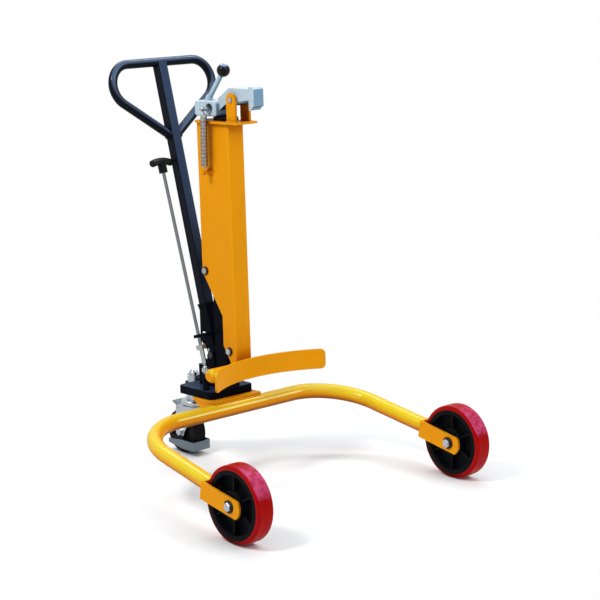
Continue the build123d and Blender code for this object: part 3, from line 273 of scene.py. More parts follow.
class Finish:
    """The nodes of a material, or of the world, under construction."""

    def __init__(self, owner):
        owner.use_nodes = True
        self.owner = owner
        self.tree = owner.node_tree
        self.shader = self.tree.nodes.get("Principled BSDF") or self.tree.nodes["Background"]

    def node(self, kind, settings=None, values=None, out=0):
        """Adds any node: its settings first, then the values or links of its sockets."""
        made = self.tree.nodes.new(kind)
        for key, value in (settings or {}).items():
            if key == "stops":
                stops = made.color_ramp.elements
                while len(stops) < len(value):
                    stops.new(0.5)
                for stop, (place, shade) in zip(stops, value):
                    stop.position = place
                    stop.color = (shade, shade, shade, 1)
            else:
                setattr(made, key, value)
        for key, value in (values or {}).items():
            self.feed(made.inputs[key], value)
        return Flow(self.tree, made.outputs[out])

    def feed(self, entry, value):
        """Sets a socket's value or links it."""
        if isinstance(value, Flow):
            self.tree.links.new(value.socket, entry)
        elif entry.type == "RGBA" and len(value) == 3:
            entry.default_value = (*value, 1)
        else:
            entry.default_value = value

    def place(self):
        """The piece's own coordinates in metres, which stay with it when it moves."""
        return self.node("ShaderNodeTexCoord", out="Object")

    def noise(self, scale, detail=3.0, rough=0.5, where=None):
        return self.node(
            "ShaderNodeTexNoise", None,
            {"Vector": where or self.place(), "Scale": scale, "Detail": detail, "Roughness": rough})

    def ramp(self, value, *stops):
        return self.node("ShaderNodeValToRGB", {"stops": stops}, {0: value})

    def mix(self, share, first, second):
        return self.node("ShaderNodeMix", {"data_type": "RGBA"}, {0: share, 6: first, 7: second}, 2)

    def smooth(self, value, low, high, start=0.0, end=1.0):
        """Start up to one value, end from another on, with an easy passage between them."""
        return self.node(
            "ShaderNodeMapRange", {"interpolation_type": "SMOOTHSTEP"},
            {0: value, 1: low, 2: high, 3: start, 4: end})

    def vectors(self, kind, first, second, out="Vector"):
        return self.node("ShaderNodeVectorMath", {"operation": kind}, {0: first, 1: second}, out)

    def dot(self, first, second):
        return self.vectors("DOT_PRODUCT", first, second, "Value")

    def rise(self, vector):
        return self.node("ShaderNodeSeparateXYZ", None, {0: vector}, "Z")

    def stretched(self, x, y, z):
        return self.vectors("MULTIPLY", self.place(), (x, y, z))

    def soft_edge(self, radius):
        """A normal that rounds sharp edges, and a mask that is 1 on them."""
        normal = self.node("ShaderNodeBevel", {"samples": 4}, {"Radius": radius})
        flat = self.node("ShaderNodeNewGeometry", out="Normal")
        return normal, self.ramp((1 - self.dot(normal, flat)) * 6.0, (0.05, 0.0), (0.75, 1.0))

    def facing(self, heading, low, high, room=False):
        """1 where the surface faces a heading of the piece, or of the room; 0 below the lower cosine."""
        normal = self.node("ShaderNodeNewGeometry" if room else "ShaderNodeTexCoord", out="Normal")
        return self.smooth(self.dot(normal, tuple(Vector(heading).normalized())), low, high)

    def height(self, low, high):
        """0 below one height of the piece, 1 above another, in metres."""
        return self.smooth(self.rise(self.place()), low, high)

    def beyond(self, centre, heading, low, high):
        """0 before one distance from a point of the room along a heading, 1 after another, in metres."""
        spot = self.node("ShaderNodeNewGeometry", out="Position")
        away = self.vectors("SUBTRACT", spot, tuple(centre))
        return self.smooth(self.dot(away, tuple(Vector(heading).normalized())), low, high)

    def shown(self):
        """1 for rays that look at the background: straight, in a reflection or through glass."""
        straight, glossy, through = (
            self.node("ShaderNodeLightPath", out=f"Is {kind} Ray")
            for kind in ("Camera", "Glossy", "Transmission"))
        return self.node("ShaderNodeMath", {"operation": "MAXIMUM"}, {0: straight, 1: glossy + through})

    def crevice(self, reach):
        """1 in the open, less in corners and under overhangs."""
        return self.node("ShaderNodeAmbientOcclusion", {"samples": 8}, {"Distance": reach}, "AO")

    def bump(self, height, strength, depth, normal):
        values = {"Height": height, "Strength": strength, "Distance": depth, "Normal": normal}
        self.feed(self.shader.inputs["Normal"], self.node("ShaderNodeBump", None, values))

    def set(self, **sockets):
        """Feeds the shader's sockets, named with underscores for spaces."""
        for key, value in sockets.items():
            self.feed(self.shader.inputs[key.replace("_", " ")], value)
        return self.owner


def darker(colour, share):
    return tuple(part * share for part in colour)


def rubbed(colour, share, lift=0.0):
    """The tone of rubbed edges and marks."""
    return tuple(min(1, part * share + lift) for part in colour)


def powder_coat(name, colour, gloss, bright, deep, chip, lit, onset, glaze,
                fade=None, fall=(0.10, 0.90), streak=None):
    """Sprayed paint: a faint orange peel, cloudy tone, a paler, glossier side of painted light, and
    painted shade on undersides and in corners.

    bright is the painted light toward lit, from the cosine onset on and weaker below the heights given
    for a painted shadow; deep is the painted shade of undersides, between the cosines of fall, and of
    corners;
    chip shows on worn edges.
    """
    f = Finish(bpy.data.materials.new(name))
    cloud = f.noise(7.0, detail=4.0)
    peel = f.noise(520.0, detail=2.0)
    grime = f.ramp(f.noise(38.0, detail=6.0, rough=0.65), (0.56, 0.0), (0.78, 1.0))
    normal, edge = f.soft_edge(0.0011)
    worn = edge * f.ramp(f.noise(160.0, detail=5.0, rough=0.7), (0.55, 0.0), (0.68, 1.0))
    # Painted light: faces toward lit take the paler tone, and more coat
    painted_light_mask = f.facing(lit, onset, 0.98)
    # Painted shadow: below the given heights the painted light weakens
    if fade:
        painted_light_mask = painted_light_mask * (0.3 + 0.7 * f.height(*fade))
    tone = f.mix(cloud, darker(colour, 0.94), darker(colour, 1.05))
    tone = f.mix(painted_light_mask, tone, bright)
    # Painted shade: undersides take the deep tone
    tone = f.mix(f.facing(UNDERSIDE, *fall), tone, deep)
    # Painted shade: corners and places under overhangs take the deep tone
    tone = f.mix(f.ramp(f.crevice(0.05), (0.35, 1.0), (0.85, 0.0)), tone, deep)
    # Painted highlight: a pale line along the tube where it faces the front
    if streak:
        line = f.facing(HIGHLIGHT_LINE_HEADING, 0.9870, 0.9980)
        tone = f.mix(line * (0.80 + 0.20 * cloud), tone, streak)
    tone = f.mix(grime * 0.14, tone, darker(colour, 0.62))
    tone = f.mix(worn * 0.5, tone, chip)
    f.bump(peel + cloud * 0.4, 0.04, 0.0005, normal)
    return f.set(
        Base_Color=tone, Roughness=gloss + (cloud - 0.5) * 0.12 + grime * 0.10 + worn * 0.15,
        Specular_IOR_Level=0.04, Coat_Weight=glaze * (0.12 + 0.88 * painted_light_mask), Coat_Roughness=0.10)


def cast_paint(name, colour, gloss, shine, front=None, under=None, top=None):
    """Paint over a sand casting: grainy, with rubbed edges, painted shade on front faces and undersides,
    and a painted highlight on tops.
    """
    f = Finish(bpy.data.materials.new(name))
    grain = f.noise(240.0, detail=5.0, rough=0.6)
    cloud = f.noise(22.0)
    normal, edge = f.soft_edge(0.0016)
    tone = f.mix(cloud, darker(colour, 0.82), darker(colour, 1.16))
    tone = f.mix(edge * grain * 0.5, tone, rubbed(colour, 1.5, 0.02))
    # Painted shade on front faces
    if front:
        tone = f.mix(f.facing(CASTING_FRONT, 0.45, 0.95), tone, front)
    # Painted shade on undersides
    if under:
        tone = f.mix(f.facing(CASTING_UNDER, 0.70, 0.90), tone, under)
    # Painted highlight on tops, blotched by the cloud
    if top:
        tone = f.mix(f.facing(UP, 0.80, 0.97) * (0.45 + 0.55 * cloud), tone, top)
    f.bump(grain + cloud * 0.3, 0.32, 0.0008, normal)
    return f.set(Base_Color=tone, Roughness=gloss + (grain - 0.5) * 0.20, Specular_IOR_Level=shine)


def plated_steel(name, colour, gloss, stain=0.2, patch_scale=46.0, foot=None):
    """Plated or drawn steel with fine scratches and dull patches.

    foot gives a paint and two heights: painted below the lower, bare above the upper, and there banded
    with painted shade between the coils.
    """
    f = Finish(bpy.data.materials.new(name))
    patch = f.noise(patch_scale, detail=4.0, rough=0.6)
    scratch = f.noise(90.0, rough=0.6, where=f.stretched(1.0, 5.0, 7.0))
    normal, edge = f.soft_edge(0.0006)
    tone = f.mix(patch, darker(colour, 1 - stain), colour)
    tone = f.mix(edge * 0.5, tone, rubbed(colour, 1.2))
    bare = 1.0
    if foot:
        paint, low, high = foot
        # Painted shade: dark bands across the wire between the coils
        coil_shade_band = f.node(
            "ShaderNodeTexWave", {"bands_direction": "Z"},
            {"Vector": f.place(), "Scale": 33.0, "Distortion": 3.0, "Detail": 2.0}, "Fac")
        tone = f.mix(f.ramp(coil_shade_band, (0.08, 0.75), (0.50, 0.0)), tone, darker(colour, 0.22))
        bare = f.height(low, high)
        tone = f.mix(bare, paint, tone)
    f.bump(scratch, 0.02, 0.0003, normal)
    return f.set(
        Base_Color=tone, Metallic=bare,
        Roughness=gloss + (patch - 0.5) * 0.18 + (scratch - 0.5) * 0.10)


def moulded(name, colour, gloss, shine, grain_scale=700.0, grain_depth=0.12, glint=None):
    """Moulded plastic with a fine grain, a few pale scuffs and, if given, a painted highlight on the
    side facing up.
    """
    f = Finish(bpy.data.materials.new(name))
    grain = f.noise(grain_scale)
    marks = f.noise(85.0, detail=6.0, rough=0.7, where=f.stretched(1.0, 2.5, 1.0))
    scuff = f.ramp(marks, (0.62, 0.0), (0.80, 1.0))
    normal, edge = f.soft_edge(0.0008)
    tone = f.mix(scuff * 0.35 + edge * 0.15, colour, rubbed(colour, 1.6, 0.004))
    # Painted highlight where the surface faces up in the room
    if glint:
        tone = f.mix(f.facing(BALL_GLINT, 0.76, 0.95, room=True), tone, glint)
    f.bump(grain, grain_depth, 0.0003, normal)
    return f.set(
        Base_Color=tone, Roughness=gloss + scuff * 0.18 + (grain - 0.5) * 0.10,
        Specular_IOR_Level=shine)


def cast_tread(name, colour, gloss, bloom=None):
    """Cast polyurethane or rubber: even tone, small rolling marks and, if given, a painted sheen on the
    tread.

    The painted sheen is a paler tone on the tread's upper front, a painted highlight, which goes with
    a painted shadow: a dark foot of the side walls.
    """
    f = Finish(bpy.data.materials.new(name))
    cloud = f.noise(16.0, detail=4.0)
    rubs = f.noise(120.0, detail=6.0, rough=0.75, where=f.stretched(4.0, 1.0, 1.0))
    mark = f.ramp(rubs, (0.58, 0.0), (0.76, 1.0))
    grain = f.noise(380.0)
    normal, edge = f.soft_edge(0.0010)
    tone = f.mix(cloud, darker(colour, 0.86), darker(colour, 1.12))
    tone = f.mix(mark * 0.28 + edge * 0.12, tone, rubbed(colour, 0.8, 0.004))
    if bloom:
        # Painted highlight: a blotchy paler sheen where the tread faces front and up
        sheen_mask = f.facing(TREAD_SHEEN_HEADING, 0.60, 0.92, room=True) * f.facing(UP, 0.30, 0.44, room=True)
        blotch = f.ramp(f.noise(75.0, detail=6.0, rough=0.65), (0.34, 0.12), (0.62, 0.85))
        tone = f.mix(sheen_mask * blotch, tone, bloom)
        # Painted shadow: side walls turn dark toward the rear and below the axle
        wall = f.facing(-ACROSS, 0.55, 0.85) + f.facing(ACROSS, 0.55, 0.85)
        foot = f.beyond(AXLE, WALL_SHADOW_HEADING, 0.0, 0.07)
        tone = f.mix(wall * foot * 0.85, tone, darker(colour, 0.06))
    f.bump(grain, 0.10, 0.0004, normal)
    return f.set(
        Base_Color=tone, Roughness=gloss + mark * 0.22 + (cloud - 0.5) * 0.12,
        Specular_IOR_Level=0.05)


FINISHES = {}
YELLOW_CHIP = (0.30, 0.22, 0.12)
BLACK_CHIP = (0.05, 0.05, 0.055)
# The painted shade of the black paints' undersides and corners
BLACK_PAINTED_SHADE = (0.002, 0.0025, 0.004)


def finish(name, make, *values, **extra):
    """Makes a finish the first time it is asked for."""
    if name not in FINISHES:
        FINISHES[name] = make(name, *values, **extra)
    return FINISHES[name]


def coat(material, *names):
    """Gives CAD nodes a material."""
    for name in names:
        mesh = NODES[name].data
        mesh.materials.clear()
        mesh.materials.append(material)


def zinc():
    return finish("bright_zinc", plated_steel, (0.46, 0.49, 0.52), 0.28)


def yellow_paint():
    paint = bpy.context.scene.trolley_paint
    # bright is a painted lit tone and deep a painted shade
    return finish(
        "yellow_powder_coat", powder_coat, tuple(paint.yellow), paint.yellow_gloss,
        bright=(0.76, 0.49, 0.010), deep=(0.46, 0.105, 0.001), chip=YELLOW_CHIP,
        lit=(-0.65, -0.30, 0.70), onset=0.62, glaze=0.20)


def tube_paint():
    paint = bpy.context.scene.trolley_paint
    # bright is a painted lit tone, deep a painted shade and the last colour a painted highlight line
    return finish(
        "yellow_tube_coat", powder_coat, tuple(paint.yellow), paint.yellow_gloss,
        bright=(0.81, 0.58, 0.012), deep=(0.24, 0.045, 0.001), chip=YELLOW_CHIP,
        lit=(-0.60, -0.30, 0.75), onset=0.36, glaze=0.50, fall=(-0.15, 0.70), streak=(1.0, 0.88, 0.26))


def loop_paint():
    # bright is a painted highlight on the loop's lit side and deep a painted shade
    return finish(
        "blue_black_loop_paint", powder_coat, tuple(bpy.context.scene.trolley_paint.handle_black), 0.30,
        bright=(0.060, 0.100, 0.170), deep=BLACK_PAINTED_SHADE, chip=BLACK_CHIP,
        lit=(-0.25, -0.65, 0.70), onset=0.70, glaze=0.35)


def handle_paint():
    # bright is a painted lit tone on the stem's front, weaker toward the bottom as a painted shadow;
    # deep is a painted shade
    return finish(
        "blue_black_paint", powder_coat, tuple(bpy.context.scene.trolley_paint.handle_black), 0.32,
        bright=(0.032, 0.056, 0.114), deep=BLACK_PAINTED_SHADE, chip=BLACK_CHIP,
        lit=(0.1, -0.75, 0.65), onset=0.66, glaze=0.20, fade=(0.50, 0.74))


def pump_paint():
    # The pump castings get a bluish painted highlight on their tops
    return finish(
        "black_pump_paint", cast_paint, tuple(bpy.context.scene.trolley_paint.pump_black), 0.40,
        shine=0.015, top=(0.030, 0.050, 0.098))


# Added pieces: round bars for welds, seams, lips and the spring, and small blocks
def placed(name, mesh):
    """A smooth object of a mesh, in the scene."""
    mesh.shade_smooth()
    made = bpy.data.objects.new(name, mesh)
    bpy.context.scene.collection.objects.link(made)
    return made


def swept(name, points, radii, sides, closed=False):
    """A tube along points whose radius may change from point to point."""
    count = len(points)
    ahead = []
    for index in range(count):
        before = points[index - 1] if closed or index else points[0]
        after = points[(index + 1) % count] if closed or index < count - 1 else points[-1]
        ahead.append((after - before).normalized())
    aside = ahead[0].orthogonal().normalized()
    verts = []
    for point, heading, radius in zip(points, ahead, radii):
        aside = (aside - heading * aside.dot(heading)).normalized()
        up = heading.cross(aside)
        for side in range(sides):
            turn = math.tau * side / sides
            verts.append(point + (aside * math.cos(turn) + up * math.sin(turn)) * radius)
    faces = []
    for ring in range(count if closed else count - 1):
        low, high = ring * sides, (ring + 1) % count * sides
        for side in range(sides):
            near = (side + 1) % sides
            faces.append((low + side, low + near, high + near, high + side))
    if not closed:
        faces.append(tuple(reversed(range(sides))))
        faces.append(tuple(range((count - 1) * sides, count * sides)))
    mesh = bpy.data.meshes.new(name)
    mesh.from_pydata(verts, [], faces)
    return placed(name, mesh)


def along(points, step, closed=False):
    """The same path with points a step apart."""
    ends = points + points[:1] if closed else points
    fine = []
    for start, end in zip(ends, ends[1:]):
        parts = max(1, round((end - start).length / step))
        fine += [start.lerp(end, part / parts) for part in range(parts)]
    return fine if closed else fine + [ends[-1]]


def ring_of(place, radius, count=48, sweep=math.tau, start=0.0):
    """Points of a circle round a frame's z axis, in millimetres of radius."""
    steps = count if sweep >= math.tau else count + 1
    turns = [start + sweep * step / count for step in range(steps)]
    return [place @ (Vector((math.cos(turn), math.sin(turn), 0)) * radius * MM) for turn in turns]


def hoop(name, place, radius, count, thick, sides):
    """A closed ring, its radius in millimetres; thick is the bar's radius in metres."""
    path = ring_of(place, radius, count)
    return swept(name, path, [thick] * len(path), sides, True)


def weld(name, points, body, material, closed=False, size=1.0):
    """A rippled bead along points."""
    sizes = bpy.context.scene.trolley_weld
    parts = 4
    path = along(points, sizes.ripple / parts, closed)
    radii = []
    for index in range(len(path)):
        wave = abs(math.sin(math.pi * index / parts))
        wobble = math.sin(index * 0.71) * 0.06
        radii.append(sizes.radius * size * (0.82 + 0.18 * wave + wobble))
    bead = swept(name, path, radii, 8, closed)
    bead.data.materials.append(material)
    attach(bead, body)


def pad(name, place, low, high, edge):
    """A block with rounded edges between two corners of a frame, in millimetres."""
    shape = bmesh.new()
    bmesh.ops.create_cube(shape, size=1.0)
    low, high = Vector(low), Vector(high)
    for vert in shape.verts:
        vert.co = place @ (((low + high) / 2 + vert.co * (high - low)) * MM)
    bmesh.ops.bevel(
        shape, geom=shape.edges[:], offset=edge * MM, segments=3, profile=0.5, affect="EDGES")
    mesh = bpy.data.meshes.new(name)
    shape.to_mesh(mesh)
    shape.free()
    return placed(name, mesh)


class TROLLEY_OT_frame(bpy.types.Operator):
    """Paint the bent frame, forks, plate and gussets"""
    bl_idname = "trolley.frame"
    bl_label = "Frame"

    def execute(self, context):
        paint = yellow_paint()
        coat(tube_paint(), "frame_tube")
        coat(paint, "left_wheel_fork", "right_wheel_fork", "mounting_plate", "mount_gussets")
        leg = LEG_CORNER - AXLE
        slope = math.atan2(leg.z, leg.y)
        uphill = Vector((0, math.cos(slope), math.sin(slope)))
        start = AXLE + leg * (FORK_REAR / leg.dot(uphill))
        for side, word in reversed(SIDES):
            mirror = Vector((side, 1, 1))
            ring = ring_of(aimed(start * mirror, leg * mirror), TUBE_RING)
            weld(word + "_fork_weld", ring, "chassis", paint, closed=True, size=1.15)
        weld("plate_front_weld", crosswise(*MOUNT_FRONT, MOUNT_FOOT), "chassis", paint)
        for side, word in SIDES:
            arc = [(side * GUSSET_SIDE,
                    TUBE_Y + TUBE_RING * math.cos(turn),
                    TUBE_Z + TUBE_RING * math.sin(turn)) for turn in GUSSET_ARC]
            weld(word + "_gusset_weld", at(TOWER, *arc), "chassis", paint, size=0.8)
        return {"FINISHED"}


class TROLLEY_OT_mast(bpy.types.Operator):
    """Paint the mast, cradle and ears, and weld them together"""
    bl_idname = "trolley.mast"
    bl_label = "Mast and cradle"

    def execute(self, context):
        paint = yellow_paint()
        coat(paint, "mast_channel", "top_plate", "clamp_ears")
        coat(paint, "drum_cradle", "cradle_crossbar", "spring_stud")
        plate_rear, plate_front = TOP_PLATE_BEAD
        front, rear = EAR_FRONT - EAR_BEAD_OUT, EAR_REAR + EAR_BEAD_OUT
        for side, word in SIDES:
            outer, inner = side * MAST_SIDE, side * EAR_INNER
            seams = (
                ("top_plate", (outer, plate_rear), (outer, plate_front), TOP_PLATE_UNDER, 0.7),
                ("ear", (outer, EAR_REAR), (outer, EAR_FRONT), TOP_PLATE_TOP, 0.9),
                ("ear_front", (inner, front), (outer, front), TOP_PLATE_TOP, 0.9),
                ("ear_rear", (inner, rear), (outer, rear), TOP_PLATE_TOP, 0.9),
            )
            for name, start, end, height, size in seams:
                line = at(TOWER, (*start, height), (*end, height))
                weld(f"{word}_{name}_weld", line, "mast", paint, size=size)
        under = crosswise(*TOP_PLATE_FRONT, TOP_PLATE_UNDER)
        weld("top_plate_front_weld", under, "mast", paint, size=0.7)
        for rise, word in ((CROSSBAR_BEAD, "upper"), (-CROSSBAR_BEAD, "lower")):
            height = CROSSBAR_HEIGHT + rise
            weld(word + "_crossbar_weld", crosswise(*CROSSBAR_REAR, height), "mast", paint)
            weld(word + "_cradle_weld", crosswise(*CROSSBAR_FRONT, height), "mast", paint)
        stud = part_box("spring_stud")
        root = Vector((STUD_ROOT_X * MM, (stud[0].y + stud[1].y) / 2, (stud[0].z + stud[1].z) / 2))
        ring = ring_of(aimed(root, ACROSS), STUD_RING, 24)
        weld("spring_stud_weld", ring, "mast", paint, closed=True, size=0.7)
        coat(finish("chromed_ram", plated_steel, (0.80, 0.81, 0.83), 0.10, stain=0.08), "lift_ram")
        roller = finish("ground_roller_steel", plated_steel, (0.46, 0.46, 0.48), 0.34)
        coat(roller, "front_guide_roller", "rear_guide_roller")
        return {"FINISHED"}


class TROLLEY_OT_wheels(bpy.types.Operator):
    """Finish the front wheels"""
    bl_idname = "trolley.wheels"
    bl_label = "Front wheels"

    def execute(self, context):
        wheel = context.scene.trolley_wheel
        # The tread gets a pink painted sheen on its upper front and a painted shadow at the foot of its
        # side walls
        tread = finish(
            "red_polyurethane", cast_tread, tuple(wheel.tread), 0.34, bloom=(0.60, 0.075, 0.20))
        hub = finish("black_nylon", moulded, tuple(wheel.hub), 0.56, shine=0.05)
        bearing = finish("bearing_steel", plated_steel, (0.34, 0.34, 0.36), 0.32)
        for _, word in SIDES:
            coat(tread, word + "_wheel_tyre")
            coat(hub, word + "_wheel_hub")
            coat(bearing, word + "_wheel_bearings")
            centre = Vector(JOINTS[word + "_wheel_spin"]["pos_m"])
            place = aimed(centre, ACROSS)
            seam = hoop(word + "_tread_seam", place, TREAD_RING, 160, wheel.seam, 6)
            seam.data.materials.append(tread)
            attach(seam, word + "_wheel")
            for side, end in ((-1, "inner"), (1, "outer")):
                face = aimed(centre + ACROSS * side * LIP_SIDE * MM, ACROSS)
                lip = hoop(f"{word}_{end}_hub_lip", face, LIP_RING, 120, LIP_BAR * MM, 8)
                lip.data.materials.append(hub)
                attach(lip, word + "_wheel")
        return {"FINISHED"}


class TROLLEY_OT_pump(bpy.types.Operator):
    """Paint the pump castings, rib its cheeks and finish its moving pieces"""
    bl_idname = "trolley.pump"
    bl_label = "Pump"

    def execute(self, context):
        paint = pump_paint()
        coat(paint, "pump_base", "pump_body", "guide_column", "column_cap")
        coat(paint, "release_valve_post", "jack_cylinder")
        coat(finish("hard_chrome", plated_steel, (0.78, 0.79, 0.81), 0.14, stain=0.08), "pump_plunger")
        coat(zinc(), "valve_spindle", "press_nose")
        for side, word in SIDES:
            near, far = sorted((side * CHEEK_INNER, side * CHEEK_OUTER))
            for name, (far_end, low, high) in CHEEK_RIBS.items():
                rib = pad(
                    f"{word}_cheek_{name}", Matrix.Identity(4),
                    (near, RIB_NEAR_END, low), (far, far_end, high), RIB_EDGE)
                rib.data.materials.append(paint)
                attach(rib, "chassis")
        coat(finish("black_oxide_steel", plated_steel, (0.045, 0.047, 0.052), 0.36), "handle_pivot_pin")
        return {"FINISHED"}


class TROLLEY_OT_handle(bpy.types.Operator):
    """Paint the handle and weld its loop to the stem"""
    bl_idname = "trolley.handle"
    bl_label = "Handle"

    def execute(self, context):
        paint = handle_paint()
        coat(loop_paint(), "handle_loop")
        coat(paint, "handle_stem")
        coat(pump_paint(), "handle_socket", "rod_guide")
        for side, word in SIDES:
            foot, shoulder = at(HANDLE, *((side * x, 0, z) for x, z in (LOOP_FOOT, LOOP_SHOULDER)))
            ring = ring_of(aimed(foot, shoulder - foot), LOOP_RING, 32)
            weld(word + "_loop_foot_weld", ring, "handle", paint, closed=True, size=0.8)
            spot, further = at(HANDLE, *((side * x, 0, GRIP_HEIGHT) for x in (GRIP_END, GRIP_FURTHER)))
            under = ring_of(aimed(spot, further - spot), GRIP_RING, 24, sweep=math.pi, start=math.pi)
            weld(word + "_grip_weld", under, "handle", paint, size=0.6)
        coat(zinc(), "guide_screw")
        return {"FINISHED"}


class TROLLEY_OT_clamp(bpy.types.Operator):
    """Finish the clamp arm, lever and ball, and set the pad under the arm"""
    bl_idname = "trolley.clamp"
    bl_label = "Clamp"

    def execute(self, context):
        # The arm and lever get painted shade on their front faces and undersides
        silver = finish(
            "silver_cast_paint", cast_paint, tuple(context.scene.trolley_paint.arm_grey), 0.42,
            shine=0.5, front=(0.17, 0.30, 0.42), under=(0.030, 0.020, 0.013))
        coat(silver, "clamp_arm", "clamp_lever")
        coat(zinc(), "spring_pin", "clamp_pivot_pin")
        # A black rubber stop on the top plate; its dark also stands in for shade in the gap under the
        # arm
        stop = pad("arm_stop_pad", TOWER, STOP_LOW, STOP_HIGH, STOP_EDGE)
        rubber = finish("stop_rubber", moulded, (0.006, 0.005, 0.005), 0.62, shine=0.06)
        stop.data.materials.append(rubber)
        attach(stop, "mast")
        # The ball gets a bluish painted highlight on top
        ball = finish(
            "glossy_black_ball", moulded, (0.0015, 0.0017, 0.0022), 0.13, shine=0.16,
            grain_scale=300.0, grain_depth=0.02, glint=(0.24, 0.33, 0.55))
        coat(ball, "ball_knob")
        return {"FINISHED"}


class TROLLEY_OT_spring(bpy.types.Operator):
    """Wind the tension spring between its pin and stud"""
    bl_idname = "trolley.spring"
    bl_label = "Tension spring"

    def upper_half(self, size, reach):
        """The wire from the spring's middle to the end of its upper hook; reach is the hook's height."""
        coil = (size.width - size.wire) / 2
        steps = 24
        path = []
        for index in range(size.turns * steps // 2 + 1):
            turn = math.tau * index / steps
            rise = size.pitch * index / steps
            path.append(Vector((coil * math.cos(turn), coil * math.sin(turn), rise)))
        last, neck = path[-1], Vector((0, 0, reach - 1.4 * size.hook))
        for share, bulge in ((0.35, 0.45), (0.8, 0.12)):
            path.append(last.lerp(neck, share) + Vector((0, coil * bulge, 0)))
        path.append(neck)
        for degrees in range(-50, 206, 15):
            turn = math.radians(degrees)
            path.append(Vector((0, size.hook * math.cos(turn), reach + size.hook * math.sin(turn))))
        return path

    def execute(self, context):
        size = context.scene.trolley_spring
        low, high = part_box("clamp_spring")
        edge = size.hook + size.wire / 2
        pin = Vector(((low.x + high.x) / 2, (low.y + high.y) / 2, high.z - edge))
        stud = Vector((pin.x, pin.y, low.z + edge))
        middle = (pin + stud) / 2
        upper = self.upper_half(size, pin.z - middle.z)
        lower = [Vector((point.x, -point.y, -point.z)) for point in reversed(upper[1:])]
        path = [middle + point for point in lower + upper]
        spring = swept("tension_spring", path, [size.wire / 2] * len(path), 10)
        # The wire is painted yellow at its foot and banded with painted shade between the coils
        painted_foot = (tuple(context.scene.trolley_paint.yellow), stud.z + 0.010, stud.z + 0.014)
        spring.data.materials.append(finish(
            "spring_wire", plated_steel, (0.62, 0.63, 0.64), 0.32,
            stain=0.75, patch_scale=130.0, foot=painted_foot))
        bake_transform(spring)
        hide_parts("clamp_spring")
        return {"FINISHED"}


class TROLLEY_OT_release(bpy.types.Operator):
    """Finish the release rod and its knob"""
    bl_idname = "trolley.release"
    bl_label = "Release rod"

    def execute(self, context):
        coat(finish("drawn_rod_steel", plated_steel, (0.185, 0.21, 0.235), 0.34), "release_rod")
        coupling = finish("coupling_zinc", plated_steel, (0.40, 0.43, 0.46), 0.30)
        coat(coupling, "rod_coupling", "release_ball_stud")
        knob = finish("black_knob_plastic", moulded, (0.0035, 0.0042, 0.0058), 0.30, shine=0.12)
        coat(knob, "release_knob")
        return {"FINISHED"}


class TROLLEY_OT_castor(bpy.types.Operator):
    """Finish the castor, its guard and brake"""
    bl_idname = "trolley.castor"
    bl_label = "Castor"

    def execute(self, context):
        dull = finish("dull_castor_zinc", plated_steel, (0.17, 0.21, 0.245), 0.38, stain=0.3)
        coat(dull, "foot_guard", "brake_pedal")
        coat(zinc(), "castor_race", "castor_yoke", "castor_axle", "brake_pin")
        dome = finish("polished_dome", plated_steel, (0.42, 0.46, 0.50), 0.20, stain=0.10)
        coat(dome, "castor_king_bolt")
        coat(finish("black_rubber", cast_tread, (0.007, 0.007, 0.008), 0.55), "castor_tyre")
        nylon = finish("castor_nylon", moulded, (0.004, 0.004, 0.0045), 0.46, shine=0.08)
        coat(nylon, "castor_hub", "guard_blocks")
        return {"FINISHED"}


class TROLLEY_OT_fasteners(bpy.types.Operator):
    """Finish bolts, nuts and washers"""
    bl_idname = "trolley.fasteners"
    bl_label = "Fasteners"

    def execute(self, context):
        coat(zinc(), "axle_bolts", "base_screws", "guide_bolts")
        washer = finish("dark_washer_steel", plated_steel, (0.030, 0.030, 0.032), 0.42)
        coat(washer, "axle_washers", "guide_washers")
        return {"FINISHED"}


# Stage: where each lamp stands from the target, with ahead toward the camera, and its size, in metres
LAMPS = {
    "key": {"ahead": 1.7, "aside": -2.2, "up": 2.8, "wide": 0.9, "deep": 0.9},
    "fill": {"ahead": 1.6, "aside": 2.2, "up": 2.6, "wide": 2.6, "deep": 2.6},
    "strip": {"ahead": -1.5, "aside": 0.0, "up": 2.7, "wide": 4.2, "deep": 0.45},
}
WHITE = (1.0, 1.0, 1.0)
SKY_BLUE = (0.62, 0.80, 1.0)
WINDOW_SIDE = (0.66, -0.72, 0.21)
FLOOR_REACH = 6.0
SHADOW_CENTRE = (0.0, 0.15, 0.0)
SHADOW_NEAR, SHADOW_FAR = 0.45, 1.0


